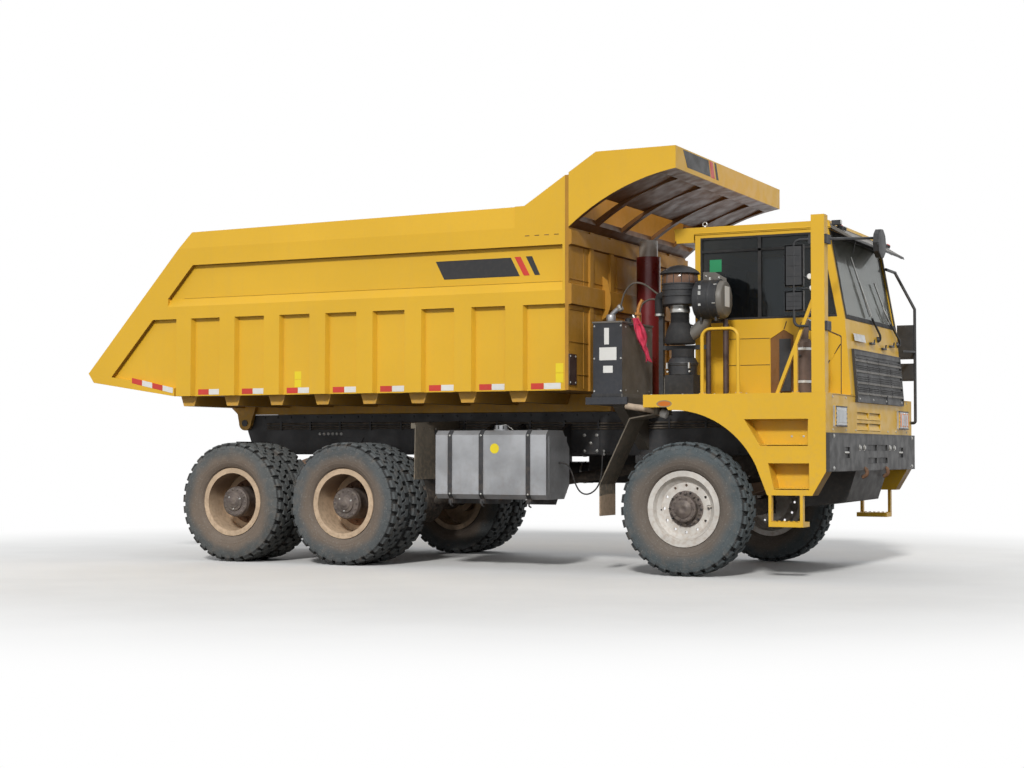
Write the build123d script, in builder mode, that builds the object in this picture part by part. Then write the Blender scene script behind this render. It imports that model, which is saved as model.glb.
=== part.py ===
from build123d import *
import os

# Wide-body mining dump truck. Millimetres, +X forward, +Y to the truck's left, +Z up.
# Ground is z = 0; the origin lies under the middle of the overall length.

os.makedirs("parts", exist_ok=True)

# Reach ahead of and behind the front axle
tail_reach = 7570
front_mirror_reach = 1850
front_axle_x = (tail_reach - front_mirror_reach) / 2
wheelbase = 4000
tandem_pitch = 1500
middle_axle_x = front_axle_x - wheelbase
rear_axle_x = middle_axle_x - tandem_pitch

# Clearances
seat_gap = 0.3
running_gap = 0.05
pin_gap = 0.1
swing_gap = 8

# Tyres and rims
tyre_radius = 685
tyre_width = 375
tyre_flats = 16
shoulder_half = 165
shoulder_radius = 650
wall_radius = 520
lug_root_depth = 20
lug_length = 118
lug_overlap = 28
axle_z = tyre_radius
rim_half_width = 134
rim_flange_radius = 390
rim_flange_wall = 14
bead_radius = 345
rim_wall = 14
front_track_half = 1400
rear_outer_half = 1506
dual_pitch = 424
rear_inner_half = rear_outer_half - dual_pitch
hub_radius = 165
front_hub_radius = 130

# Steering
kingpin_y = 1150
kingpin_radius = 35
spindle_radius = 60
rear_spindle_radius = 90

# Chassis
rail_y = 500
rail_width = 100
rail_wall = 20
rail_bottom_z = 1230
rail_top_z = 1710
rail_rear_x = front_axle_x - 6000
bumper_rear_x = front_axle_x + 1420
bumper_mid_x = front_axle_x + 1544
bumper_front_x = front_axle_x + 1581
bumper_bottom_z = 1075
bumper_top_z = 1457

# Deck and skirts
deck_y = 1704
deck_top_z = 1848
deck_plate = 25
deck_edge_bottom_z = 1719
deck_rear_x = front_axle_x - 370
skirt_inner_y = 1500
skirt_bottom_z = 840
skirt_rear_foot_x = front_axle_x + 946
skirt_front_foot_x = front_axle_x + 1405
skirt_chamfer_z = 1075
arch_x = front_axle_x - 60
arch_z = 700
arch_radius = 990
pocket_depth = 180

# Cab, set to the truck's left
cab_right_y = -800
cab_left_y = 1300
cab_rear_x = front_axle_x - 140
cab_wall = 50
cab_floor_z = 1850
cab_sill_z = 2640
cab_eave_z = 3570
cab_roof_z = 3650
cab_foot_x = front_axle_x + 1544
cab_waist_x = front_axle_x + 1484
cab_brow_x = front_axle_x + 1312

# Dump box
box_y = 1700
wall_outer_y = 1640
wall_inner_y = 1600
box_front_x = front_axle_x - 1249
box_wrap_x = front_axle_x - 1174
floor_bottom_z = 1910
floor_plate = 25
kick_x = front_axle_x - 6293
tail_x = front_axle_x - tail_reach
tail_top_z = 2199
tail_low_x = front_axle_x - 7489
tail_low_z = 2087
rail_rear_top_x = front_axle_x - 6074
ramp_x = front_axle_x - 1725
ramp_z = 3870
rail_rear_top_z = ramp_z - 40
canopy_back_x = front_axle_x - 897
canopy_top_z = ramp_z + 517
canopy_front_x = front_axle_x - 10
canopy_lip_z = canopy_top_z - 232
canopy_mid_z = canopy_top_z - 472
canopy_root_z = canopy_top_z - 767
girder_bottom_z = rail_top_z + 5
recess_top_z = ramp_z - 430
recess_bottom_z = recess_top_z - 385
mid_rail_top_z = recess_bottom_z - 95
mid_rail_bottom_z = mid_rail_top_z - 145
rib_first_x = front_axle_x - 6270
rib_pitch = 617
rib_count = 8
rib_width = 210
rib_flank = 24

# Box hinge
hinge_x = front_axle_x - 6090
hinge_z = 1610
hinge_pin_radius = 40
hinge_lug_radius = 88
hinge_lug_wall = 50

# Hoist
hoist_x = front_axle_x - 1000
hoist_base_z = 1400
hoist_trunnion_z = 2000
hoist_trunnion_radius = 40
hoist_pin_radius = 35
hoist_barrel_radius = 135
hoist_barrel_bottom_z = 1530
hoist_cap_radius = 105
hoist_cap_z = canopy_root_z + 20
hoist_barrel_top_z = hoist_cap_z - 186
stage_step = 24
stage_count = 3
stage_reveal = 12

right, left = -1, 1
side_names = {right: "right", left: "left"}


def write(piece, label):
    piece.part.label = label
    export_step(piece.part, f"parts/{label}.step")


# Tyres: a sixteen-sided carcass with bevelled shoulders and hollow beads, and staggered lugs
with BuildPart() as tyre:
    bead = rim_half_width - rim_flange_wall - seat_gap
    with BuildSketch(Plane.XZ.offset(-tyre_width / 2)):
        RegularPolygon(shoulder_radius, tyre_flats, major_radius=False)
    extrude(amount=tyre_width)
    for end in (0, -1):
        wall = tyre.faces().sort_by(Axis.Y)[end]
        chamfer(
            wall.edges(),
            length=shoulder_radius - wall_radius,
            length2=tyre_width / 2 - shoulder_half,
            reference=wall,
        )
    with BuildSketch(Plane.XZ.offset(-tyre_width / 2)):
        RegularPolygon(bead_radius + seat_gap, tyre_flats, major_radius=False)
    extrude(amount=tyre_width, mode=Mode.SUBTRACT)
    for side in (right, left):
        with BuildSketch(Plane.XZ.offset(side * bead)):
            RegularPolygon(rim_flange_radius + 2 * seat_gap, tyre_flats, major_radius=False)
        with BuildSketch(Plane.XZ.offset(side * tyre_width / 2)):
            RegularPolygon(wall_radius, tyre_flats, major_radius=False)
        loft(ruled=True, mode=Mode.SUBTRACT)
    for flat in range(tyre_flats):
        side = left if flat % 2 else right
        start, end = sorted((side * lug_overlap, -side * shoulder_half))
        facing = Plane.XY.rotated((0, 360 / tyre_flats * flat, 0))
        with BuildSketch(facing.offset(shoulder_radius - lug_root_depth)):
            with Locations((0, (start + end) / 2)):
                Rectangle(lug_length, end - start)
        extrude(amount=tyre_radius - shoulder_radius + lug_root_depth)


def tyre_set(axle_x, centres):
    with BuildPart() as tyres:
        for centre in centres:
            with Locations((axle_x, centre, axle_z)):
                add(tyre.part)
    return tyres


# Rims: barrel with both flanges, disc and hub, turned about the axle; distances run outward
def turned_rim(axle_x, side, outline, holes=0):
    with BuildPart() as rim:
        with BuildSketch(Plane.YZ.offset(axle_x)):
            with BuildLine():
                Polyline(*[(side * d, axle_z + r) for d, r in outline], close=True)
            make_face()
        revolve(axis=Axis((axle_x, 0, axle_z), (0, 1, 0)))
        if holes:
            with BuildSketch(Plane.XZ.offset(-side * (front_disc - 10))):
                with Locations((axle_x, axle_z)):
                    with PolarLocations(rim_hole_circle, holes):
                        Circle(rim_hole_radius)
            extrude(amount=-side * 40, mode=Mode.SUBTRACT)
    return rim


barrel_inner = bead_radius - rim_wall
front_in = front_track_half - rim_half_width
front_out = front_track_half + rim_half_width
front_disc = front_track_half + 30
front_hub_back_radius = 215
rim_hole_circle = 240
rim_hole_radius = 14
front_bore = spindle_radius + running_gap
front_spindle_end = front_track_half + 60
front_rim_outline = [
    (front_in, barrel_inner),
    (front_in, rim_flange_radius),
    (front_in + rim_flange_wall, rim_flange_radius),
    (front_in + rim_flange_wall, bead_radius),
    (front_out - rim_flange_wall, bead_radius),
    (front_out - rim_flange_wall, rim_flange_radius),
    (front_out, rim_flange_radius),
    (front_out, barrel_inner),
    (front_disc + 50, barrel_inner - 20),
    (front_disc + 16, 270),
    (front_disc + 16, front_hub_radius),
    (front_disc + 70, front_hub_radius),
    (front_disc + 78, 100),
    (front_out, 90),
    (front_out, 0),
    (front_spindle_end + 5, 0),
    (front_spindle_end + 5, front_bore),
    (front_disc - 110, front_bore),
    (front_disc - 110, front_hub_back_radius),
    (front_disc, front_hub_back_radius),
    (front_disc, 270),
    (front_disc + 30, barrel_inner - 20),
    (front_disc, barrel_inner),
]

rear_in = rear_inner_half - rim_half_width
rear_out = rear_outer_half + rim_half_width
dual_in = rear_inner_half + rim_half_width
dual_out = rear_outer_half - rim_half_width
rear_disc = dual_in + 40
rear_bore = rear_spindle_radius + running_gap
rear_spindle_end = rear_disc + 90
rear_rim_outline = [
    (rear_in, barrel_inner),
    (rear_in, rim_flange_radius),
    (rear_in + rim_flange_wall, rim_flange_radius),
    (rear_in + rim_flange_wall, bead_radius),
    (dual_in - rim_flange_wall, bead_radius),
    (dual_in - rim_flange_wall, rim_flange_radius),
    (dual_in, rim_flange_radius),
    (dual_in, bead_radius),
    (dual_out, bead_radius),
    (dual_out, rim_flange_radius),
    (dual_out + rim_flange_wall, rim_flange_radius),
    (dual_out + rim_flange_wall, bead_radius),
    (rear_out - rim_flange_wall, bead_radius),
    (rear_out - rim_flange_wall, rim_flange_radius),
    (rear_out, rim_flange_radius),
    (rear_out, barrel_inner),
    (rear_disc + 20, barrel_inner),
    (rear_disc + 20, hub_radius),
    (rear_out - 95, hub_radius),
    (rear_out - 75, hub_radius - 20),
    (rear_out - 75, 90),
    (rear_out - 55, 80),
    (rear_out - 55, 0),
    (rear_spindle_end + 5, 0),
    (rear_spindle_end + 5, rear_bore),
    (rear_disc - 120, rear_bore),
    (rear_disc - 120, hub_radius),
    (rear_disc, hub_radius),
    (rear_disc, barrel_inner),
]

for side, name in side_names.items():
    write(tyre_set(front_axle_x, [side * front_track_half]), f"tyre_front_{name}")
    write(turned_rim(front_axle_x, side, front_rim_outline, 12), f"rim_front_{name}")
    for axle, axle_x in (("middle", middle_axle_x), ("rear", rear_axle_x)):
        pair = [side * rear_inner_half, side * rear_outer_half]
        write(tyre_set(axle_x, pair), f"tyres_{axle}_{name}")
        write(turned_rim(axle_x, side, rear_rim_outline), f"rims_{axle}_{name}")

# Front axle: dropped beam with an eye for each kingpin and a seat for each leaf spring
beam_half = 55
eye_radius = 72
eye_bottom_z = axle_z - 75
eye_top_z = axle_z + 75
spring_y = rail_y - rail_width / 2
front_spring_width = 100
with BuildPart() as front_axle:
    with BuildSketch(Plane.YZ.offset(front_axle_x - beam_half)):
        with BuildLine():
            Polyline(
                (-kingpin_y + 45, eye_bottom_z + 20),
                (-kingpin_y + 270, axle_z - 130),
                (kingpin_y - 270, axle_z - 130),
                (kingpin_y - 45, eye_bottom_z + 20),
                (kingpin_y - 45, eye_top_z - 20),
                (kingpin_y - 220, axle_z + 50),
                (-kingpin_y + 220, axle_z + 50),
                (-kingpin_y + 45, eye_top_z - 20),
                close=True,
            )
        make_face()
    extrude(amount=2 * beam_half)
    with BuildSketch(Plane.XY.offset(eye_bottom_z)):
        with Locations((front_axle_x, -kingpin_y), (front_axle_x, kingpin_y)):
            Circle(eye_radius)
    extrude(amount=eye_top_z - eye_bottom_z)
    with BuildSketch(Plane.XY.offset(axle_z)):
        with Locations((front_axle_x, -spring_y), (front_axle_x, spring_y)):
            Rectangle(200, front_spring_width)
    extrude(amount=95)
    with BuildSketch(Plane.XY.offset(eye_bottom_z)):
        with Locations((front_axle_x, -kingpin_y), (front_axle_x, kingpin_y)):
            Circle(kingpin_radius + pin_gap)
    extrude(amount=eye_top_z - eye_bottom_z, mode=Mode.SUBTRACT)
write(front_axle, "front_axle")

# Steering knuckles: yoke round the beam's eye, kingpin through it, spindle out to the hub
yoke_gap = 6
yoke_arm = 45
yoke_outer_y = kingpin_y + eye_radius + yoke_gap
for side, name in side_names.items():
    with BuildPart() as knuckle:
        with BuildSketch(Plane.XY.offset(eye_bottom_z - yoke_gap - yoke_arm)):
            with Locations((front_axle_x, side * kingpin_y)):
                Circle(kingpin_radius)
        extrude(amount=eye_top_z - eye_bottom_z + 2 * (yoke_gap + yoke_arm))
        for arm_z in (eye_bottom_z - yoke_gap - yoke_arm, eye_top_z + yoke_gap):
            with BuildSketch(Plane.XY.offset(arm_z)):
                with Locations((front_axle_x, side * kingpin_y)):
                    Circle(eye_radius)
                with Locations((front_axle_x, side * (kingpin_y + yoke_outer_y + 25) / 2)):
                    Rectangle(2 * eye_radius, yoke_outer_y + 25 - kingpin_y)
            extrude(amount=yoke_arm)
        with BuildSketch(Plane.XY.offset(eye_bottom_z - yoke_gap - yoke_arm)):
            with Locations((front_axle_x, side * (yoke_outer_y + 12.5))):
                Rectangle(2 * eye_radius, 25)
        extrude(amount=eye_top_z - eye_bottom_z + 2 * (yoke_gap + yoke_arm))
        with BuildSketch(Plane.XZ.offset(-side * yoke_outer_y)):
            with Locations((front_axle_x, axle_z)):
                Circle(spindle_radius)
        extrude(amount=-side * (front_spindle_end - yoke_outer_y))
    write(knuckle, f"knuckle_{name}")

# Rear axles: banjo housing, tubes, spring seats and hub spindles
tandem_spring_y = 660
tandem_spring_width = 120
tandem_seat_z = 850
housing_radius = 280
housing_outline = [
    (0, 0),
    (rear_spindle_end, 0),
    (rear_spindle_end, rear_spindle_radius),
    (rear_in - 60, rear_spindle_radius),
    (rear_in - 60, 130),
    (320, 130),
    (190, housing_radius),
    (0, housing_radius),
]
with BuildPart() as rear_axles:
    for axle_x in (middle_axle_x, rear_axle_x):
        with BuildSketch(Plane.YZ.offset(axle_x)):
            with BuildLine():
                Polyline(*[(d, axle_z + r) for d, r in housing_outline], close=True)
            make_face()
            mirror(about=Plane.YZ)
        revolve(axis=Axis((axle_x, 0, axle_z), (0, 1, 0)))
        with BuildSketch(Plane.XY.offset(axle_z)):
            with Locations((axle_x, -tandem_spring_y), (axle_x, tandem_spring_y)):
                Rectangle(200, tandem_spring_width)
        extrude(amount=tandem_seat_z - seat_gap - axle_z)
write(rear_axles, "rear_axles")

# Front leaf springs, eye to eye under the rails
front_spring_half = 800
front_seat_z = axle_z + 95
with BuildPart() as front_springs:
    for side in (right, left):
        with BuildSketch(Plane.XZ.offset(-side * spring_y + side * front_spring_width / 2)):
            with BuildLine():
                low = ThreePointArc(
                    (front_axle_x - front_spring_half, front_seat_z + 210),
                    (front_axle_x, front_seat_z + seat_gap),
                    (front_axle_x + front_spring_half, front_seat_z + 210),
                )
                high = ThreePointArc(
                    (front_axle_x - front_spring_half, front_seat_z + 240),
                    (front_axle_x, front_seat_z + 130),
                    (front_axle_x + front_spring_half, front_seat_z + 240),
                )
                Line(low @ 0, high @ 0)
                Line(low @ 1, high @ 1)
            make_face()
        extrude(amount=-side * front_spring_width)
write(front_springs, "front_springs")

# Tandem springs: an arched pack from axle to axle, clamped over the trunnion
trunnion_x = (middle_axle_x + rear_axle_x) / 2
trunnion_z = 980
trunnion_radius = 75
tandem_spring_low_z = 1080
tandem_spring_high_z = 1230
tandem_half = (middle_axle_x - rear_axle_x) / 2 + 100
tandem_rise = tandem_spring_low_z - tandem_seat_z
tandem_arc_radius = (tandem_half**2 + tandem_rise**2) / (2 * tandem_rise)
saddle_top_z = tandem_spring_low_z - trunnion_radius**2 / (2 * tandem_arc_radius) - 2 * seat_gap
with BuildPart() as tandem_springs:
    for side in (right, left):
        with BuildSketch(
            Plane.XZ.offset(-side * tandem_spring_y + side * tandem_spring_width / 2)
        ):
            with BuildLine():
                low = ThreePointArc(
                    (rear_axle_x - 100, tandem_seat_z),
                    (trunnion_x, tandem_spring_low_z),
                    (middle_axle_x + 100, tandem_seat_z),
                )
                high = ThreePointArc(
                    (rear_axle_x - 100, tandem_seat_z + 50),
                    (trunnion_x, tandem_spring_high_z),
                    (middle_axle_x + 100, tandem_seat_z + 50),
                )
                Line(low @ 0, high @ 0)
                Line(low @ 1, high @ 1)
            make_face()
        extrude(amount=-side * tandem_spring_width)
write(tandem_springs, "tandem_springs")

# Trunnion: cross shaft, a saddle under each pack and a hanger up to each rail
with BuildPart() as trunnion:
    with BuildSketch(Plane.XZ.offset(-tandem_spring_y - 70)):
        with Locations((trunnion_x, trunnion_z)):
            Circle(trunnion_radius)
    extrude(amount=2 * (tandem_spring_y + 70))
    for side in (right, left):
        with BuildSketch(
            Plane.XZ.offset(-side * tandem_spring_y + side * tandem_spring_width / 2)
        ):
            with Locations((trunnion_x, (trunnion_z + saddle_top_z) / 2)):
                Rectangle(2 * trunnion_radius, saddle_top_z - trunnion_z)
        extrude(amount=-side * tandem_spring_width)
        with BuildSketch(Plane.XZ.offset(-side * (rail_y + 10))):
            with BuildLine():
                Polyline(
                    (trunnion_x - 110, trunnion_z - 90),
                    (trunnion_x + 110, trunnion_z - 90),
                    (trunnion_x + 320, rail_bottom_z + 200),
                    (trunnion_x - 320, rail_bottom_z + 200),
                    close=True,
                )
            make_face()
        extrude(amount=side * 10)
        with BuildSketch(Plane.XZ.offset(-side * rail_y)):
            with BuildLine():
                Polyline(
                    (trunnion_x - 110, trunnion_z - 90),
                    (trunnion_x + 110, trunnion_z - 90),
                    (trunnion_x + 250, rail_bottom_z),
                    (trunnion_x - 250, rail_bottom_z),
                    close=True,
                )
            make_face()
        extrude(amount=side * 60)
write(trunnion, "trunnion")

# Chassis: channel rails with spring hangers and hinge ears; cross-members and deck beams
member_stations = [-5700, -4750, -3300, -2000, 1300]
deck_beam_stations = [-90, 1190]
deck_beam_low_z = rail_top_z + seat_gap
deck_beam_top_z = deck_top_z - deck_plate - seat_gap
member_half = rail_y - rail_wall - seat_gap
hoist_member_low_z = rail_bottom_z + rail_wall + seat_gap
hoist_member_top_z = rail_bottom_z + 90
hoist_ear_y = 75
eye_half = 45
deck_beam_width = 80
with BuildPart() as members:
    for station in member_stations:
        with BuildSketch(Plane.XZ.offset(-member_half)):
            with Locations((front_axle_x + station, (rail_bottom_z + rail_top_z) / 2)):
                Rectangle(120, 160)
        extrude(amount=2 * member_half)
    for station in deck_beam_stations:
        with BuildSketch(Plane.XZ.offset(-(deck_y - 20.3))):
            with Locations((front_axle_x + station, (deck_beam_low_z + deck_beam_top_z) / 2)):
                Rectangle(deck_beam_width, deck_beam_top_z - deck_beam_low_z)
        extrude(amount=2 * (deck_y - 20.3))
    # Hoist cross-member with two bored ears
    with BuildSketch(Plane.XZ.offset(-member_half)):
        with Locations((hoist_x, (hoist_member_low_z + hoist_member_top_z) / 2)):
            Rectangle(260, hoist_member_top_z - hoist_member_low_z)
    extrude(amount=2 * member_half)
    for side in (right, left):
        with BuildSketch(Plane.XZ.offset(-side * hoist_ear_y)):
            Polygon(
                (hoist_x - 90, hoist_member_top_z),
                (hoist_x + 90, hoist_member_top_z),
                (hoist_x + 60, hoist_base_z + 62),
                (hoist_x - 60, hoist_base_z + 62),
                align=None,
            )
            with Locations((hoist_x, hoist_base_z)):
                Circle(hoist_pin_radius + running_gap, mode=Mode.SUBTRACT)
        extrude(amount=-side * 30)
write(members, "cross_members")

with BuildPart() as chassis:
    for side in (right, left):
        with BuildSketch(Plane.YZ.offset(rail_rear_x)):
            with Locations((side * (rail_y - rail_width / 2), (rail_bottom_z + rail_top_z) / 2)):
                Rectangle(rail_width, rail_top_z - rail_bottom_z)
            with Locations(
                (side * (rail_y - rail_wall - rail_width / 2), (rail_bottom_z + rail_top_z) / 2)
            ):
                Rectangle(
                    rail_width, rail_top_z - rail_bottom_z - 2 * rail_wall, mode=Mode.SUBTRACT
                )
        extrude(amount=bumper_rear_x - rail_rear_x)
    for side in (right, left):
        # Rear hinge ear with its pin
        with BuildSketch(Plane.XZ.offset(-side * (rail_y - 60))):
            with BuildLine():
                Polyline(
                    (rail_rear_x + 60, rail_bottom_z + 60),
                    (rail_rear_x + 60, hinge_z + hinge_lug_radius),
                    (hinge_x, hinge_z + hinge_lug_radius),
                    (hinge_x - hinge_lug_radius, hinge_z),
                    (hinge_x, hinge_z - hinge_lug_radius),
                    (rail_rear_x, rail_bottom_z + 60),
                    close=True,
                )
            make_face()
        extrude(amount=-side * 60)
        with BuildSketch(Plane.XZ.offset(-side * (rail_y - 60))):
            with Locations((hinge_x, hinge_z)):
                Circle(hinge_pin_radius)
        extrude(amount=-side * (60 + 10 + hinge_lug_wall + 10))
        # Hangers for the front springs
        for end in (-1, 1):
            with BuildSketch(
                Plane.XZ.offset(-side * spring_y + side * front_spring_width / 2)
            ):
                with Locations(
                    (
                        front_axle_x + end * (front_spring_half - 40),
                        (front_seat_z + 240 + rail_bottom_z) / 2,
                    )
                ):
                    Rectangle(80, rail_bottom_z - front_seat_z - 240)
            extrude(amount=-side * front_spring_width)
write(chassis, "chassis_frame")

# Engine and gearbox as one plain mass between the rails, radiator ahead of it
gearbox_rear_x = front_axle_x - 820
with BuildPart() as engine:
    with BuildSketch(Plane.XZ.offset(-350)):
        with BuildLine():
            Polyline(
                (front_axle_x + 150, 960),
                (front_axle_x + 850, 960),
                (front_axle_x + 850, bumper_bottom_z + 30),
                (front_axle_x + 1180, bumper_bottom_z + 30),
                (front_axle_x + 1180, 1690),
                (front_axle_x - 100, 1690),
                (gearbox_rear_x, 1500),
                (gearbox_rear_x, 1040),
                (front_axle_x + 150, 1040),
                close=True,
            )
        make_face()
    extrude(amount=700)
    # Mounting feet against the rails' lower flanges
    with BuildSketch(Plane.XZ.offset(-(rail_y - rail_width - seat_gap))):
        with Locations(
            (front_axle_x + 1050, rail_bottom_z + 20), (front_axle_x - 600, rail_bottom_z + 20)
        ):
            Rectangle(140, 90)
    extrude(amount=2 * (rail_y - rail_width - seat_gap))
write(engine, "engine_block")

with BuildPart() as radiator:
    with BuildSketch(Plane.YZ.offset(bumper_rear_x - seat_gap)):
        with Locations((0, 1430)):
            Rectangle(2 * (rail_y - rail_width) - 20, 540)
    extrude(amount=-45)
write(radiator, "radiator")

shaft_radius = 60
with BuildPart() as shaft:
    with BuildSketch(Plane.YZ.offset(gearbox_rear_x - seat_gap)):
        with Locations((0, 1130)):
            Circle(shaft_radius)
    with BuildSketch(Plane.YZ.offset(middle_axle_x + housing_radius + seat_gap)):
        with Locations((0, axle_z)):
            Circle(shaft_radius)
    loft()
write(shaft, "propeller_shaft")

# Bumper: face plate on a deep beam, with the tow frame below
bumper_half = deck_y - 4
bumper_slot_depth = 18
with BuildPart() as bumper:
    with BuildSketch(Plane.YZ.offset(bumper_mid_x)):
        with Locations((0, (bumper_bottom_z + bumper_top_z) / 2)):
            Rectangle(2 * bumper_half, bumper_top_z - bumper_bottom_z)
    extrude(amount=bumper_front_x - bumper_mid_x)
    # Two by two hand slots in the face, a latch pocket near each end
    with BuildSketch(Plane.YZ.offset(bumper_front_x)):
        with Locations((80, bumper_bottom_z + 170)):
            with GridLocations(430, 135, 2, 2):
                Rectangle(380, 60)
        with Locations((-1078, bumper_bottom_z + 187), (1078, bumper_bottom_z + 187)):
            Rectangle(180, 110)
    extrude(amount=-bumper_slot_depth, mode=Mode.SUBTRACT)
    with BuildSketch(Plane.YZ.offset(bumper_rear_x)):
        with Locations((0, (bumper_bottom_z + bumper_top_z) / 2)):
            Rectangle(2 * (skirt_inner_y - 60), bumper_top_z - bumper_bottom_z)
    extrude(amount=bumper_mid_x - bumper_rear_x)
    # Tow frame below
    with BuildSketch(Plane.XZ.offset(-620)):
        with BuildLine():
            Polyline(
                (front_axle_x + 900, bumper_bottom_z),
                (bumper_mid_x - 4, bumper_bottom_z),
                (bumper_mid_x - 104, bumper_bottom_z - 315),
                (front_axle_x + 1000, bumper_bottom_z - 375),
                close=True,
            )
        make_face()
    extrude(amount=1240)
write(bumper, "bumper")

# Front panel between the skirts
panel_wall = 40
panel_recess = 22
panel_rear_x = bumper_mid_x - panel_wall
with BuildPart() as front_panel:
    with BuildSketch(Plane.YZ.offset(panel_rear_x)):
        with Locations((0, (bumper_top_z + deck_top_z) / 2)):
            Rectangle(2 * (skirt_inner_y - seat_gap), deck_top_z - bumper_top_z - 2 * seat_gap)
    extrude(amount=panel_wall)
    # Two by two louvre recesses
    with BuildSketch(Plane.YZ.offset(bumper_mid_x)):
        with Locations((-123, (bumper_top_z + deck_top_z) / 2 - 71)):
            with GridLocations(480, 112, 2, 2):
                Rectangle(440, 80)
    extrude(amount=-panel_recess, mode=Mode.SUBTRACT)
write(front_panel, "front_panel")

# Decks: plate, edge band, skirt with the wheel arch, step pockets and a hanging step
pockets = [
    # rear top x, front top x, top z, front bottom x, rear bottom x, bottom z
    (711, 1366, 1591, 1360, 876, 1326),
    (957, 1374, 1155, 1373, 1018, 896),
]
step_rear_x = front_axle_x + 960
step_front_x = front_axle_x + 1310
step_tread_z = 530
deck_inner_y = {right: -cab_right_y + 5, left: cab_left_y + 5}
for side, name in side_names.items():
    with BuildPart() as deck:
        with BuildSketch(Plane.XZ.offset(-side * skirt_inner_y)):
            with BuildLine():
                arch = CenterArc((arch_x, arch_z), arch_radius, 25, 67)
                Polyline(
                    arch @ 0,
                    (skirt_rear_foot_x, skirt_bottom_z),
                    (skirt_front_foot_x, skirt_bottom_z),
                    (bumper_mid_x, skirt_chamfer_z),
                    (bumper_mid_x, deck_top_z),
                    (deck_rear_x, deck_top_z),
                    (deck_rear_x, deck_edge_bottom_z),
                    (arch @ 1 - (20, -30)),
                    arch @ 1,
                )
            make_face()
        extrude(amount=-side * (deck_y - skirt_inner_y))
        with BuildSketch(Plane.XZ.offset(-side * (skirt_inner_y - 1))):
            with BuildLine():
                Polyline(
                    (deck_rear_x + 15, deck_edge_bottom_z - 100),
                    (front_axle_x + 760, deck_edge_bottom_z - 100),
                    (front_axle_x + 760, deck_top_z - deck_plate),
                    (deck_rear_x + 15, deck_top_z - deck_plate),
                    close=True,
                )
            make_face()
        extrude(amount=-side * (deck_y - skirt_inner_y - 19), mode=Mode.SUBTRACT)
        with BuildSketch(Plane.XY.offset(deck_top_z - deck_plate)):
            with Locations(
                (
                    (deck_rear_x + panel_rear_x - seat_gap) / 2,
                    side * (deck_inner_y[side] + skirt_inner_y) / 2,
                )
            ):
                Rectangle(
                    panel_rear_x - seat_gap - deck_rear_x, skirt_inner_y - deck_inner_y[side]
                )
        extrude(amount=deck_plate)
        for rear_top, front_top, top_z, front_low, rear_low, low_z in pockets:
            with BuildSketch(Plane.XZ.offset(-side * deck_y)):
                Polygon(
                    (front_axle_x + rear_top, top_z),
                    (front_axle_x + front_top, top_z),
                    (front_axle_x + front_low, low_z),
                    (front_axle_x + rear_low, low_z),
                    align=None,
                )
            extrude(amount=side * pocket_depth, mode=Mode.SUBTRACT)
        for station in deck_beam_stations:
            with BuildSketch(Plane.XZ.offset(-side * (deck_y - 20))):
                with Locations((front_axle_x + station, (rail_top_z + deck_top_z - deck_plate) / 2)):
                    Rectangle(deck_beam_width + 1, deck_top_z - deck_plate - rail_top_z + 1)
            extrude(amount=side * deck_y, mode=Mode.SUBTRACT)
        for x in (step_rear_x, step_front_x - 30):
            with BuildSketch(Plane.XY.offset(step_tread_z)):
                with Locations((x + 15, side * (deck_y - 30))):
                    Rectangle(30, 60)
            extrude(amount=skirt_bottom_z - step_tread_z)
        with BuildSketch(Plane.XY.offset(step_tread_z)):
            with Locations(((step_rear_x + step_front_x) / 2, side * (deck_y - 110))):
                Rectangle(step_front_x - step_rear_x, 220)
        extrude(amount=50)
    write(deck, f"deck_{name}")

# Yellow tube rails on the right deck
tube_radius = 19
rail_line_y = -(deck_y - 30)
hoop_rear_x = front_axle_x + 260
hoop_front_x = front_axle_x + 640
hoop_top_z = 2500
brace_post_x = front_axle_x + 1228
brace_foot_x = front_axle_x + 1040
brace_top_z = 2750
brace_y = -(deck_y - 60)
post_rear_x = front_axle_x + 1403
post_front_x = front_axle_x + 1538
post_depth = 120
with BuildPart() as rails:
    with BuildLine(Plane.XZ.offset(-rail_line_y)):
        FilletPolyline(
            (hoop_rear_x, deck_top_z),
            (hoop_rear_x, hoop_top_z),
            (hoop_front_x, hoop_top_z),
            (hoop_front_x, deck_top_z),
            radius=90,
        )
    with BuildSketch(Plane.XY.offset(deck_top_z)):
        with Locations((hoop_rear_x, rail_line_y)):
            Circle(tube_radius)
    sweep()
    brace_slope = (brace_top_z - deck_top_z) / (post_rear_x - brace_foot_x)
    brace_meet_z = deck_top_z + (brace_post_x - brace_foot_x) * brace_slope
    with BuildSketch(Plane.XY.offset(deck_top_z)):
        with Locations((brace_post_x, brace_y)):
            Rectangle(36, 36)
    extrude(amount=brace_meet_z - deck_top_z)
    with BuildSketch(Plane.XZ.offset(-brace_y - 18)):
        Polygon(
            (brace_foot_x - 18, deck_top_z),
            (brace_foot_x + 18, deck_top_z),
            (post_rear_x - seat_gap, brace_top_z - 40),
            (post_rear_x - seat_gap, brace_top_z + 50),
            align=None,
        )
    extrude(amount=36)
write(rails, "deck_rails")

# Corner post with the hinge clamps of the mirror frame
corner_post_top_z = 3592
with BuildPart() as corner_post:
    with BuildSketch(Plane.XY.offset(deck_top_z)):
        with Locations(((post_rear_x + post_front_x) / 2, -(deck_y - post_depth / 2))):
            Rectangle(post_front_x - post_rear_x, post_depth)
    extrude(amount=corner_post_top_z - deck_top_z)
write(corner_post, "corner_post")

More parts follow.
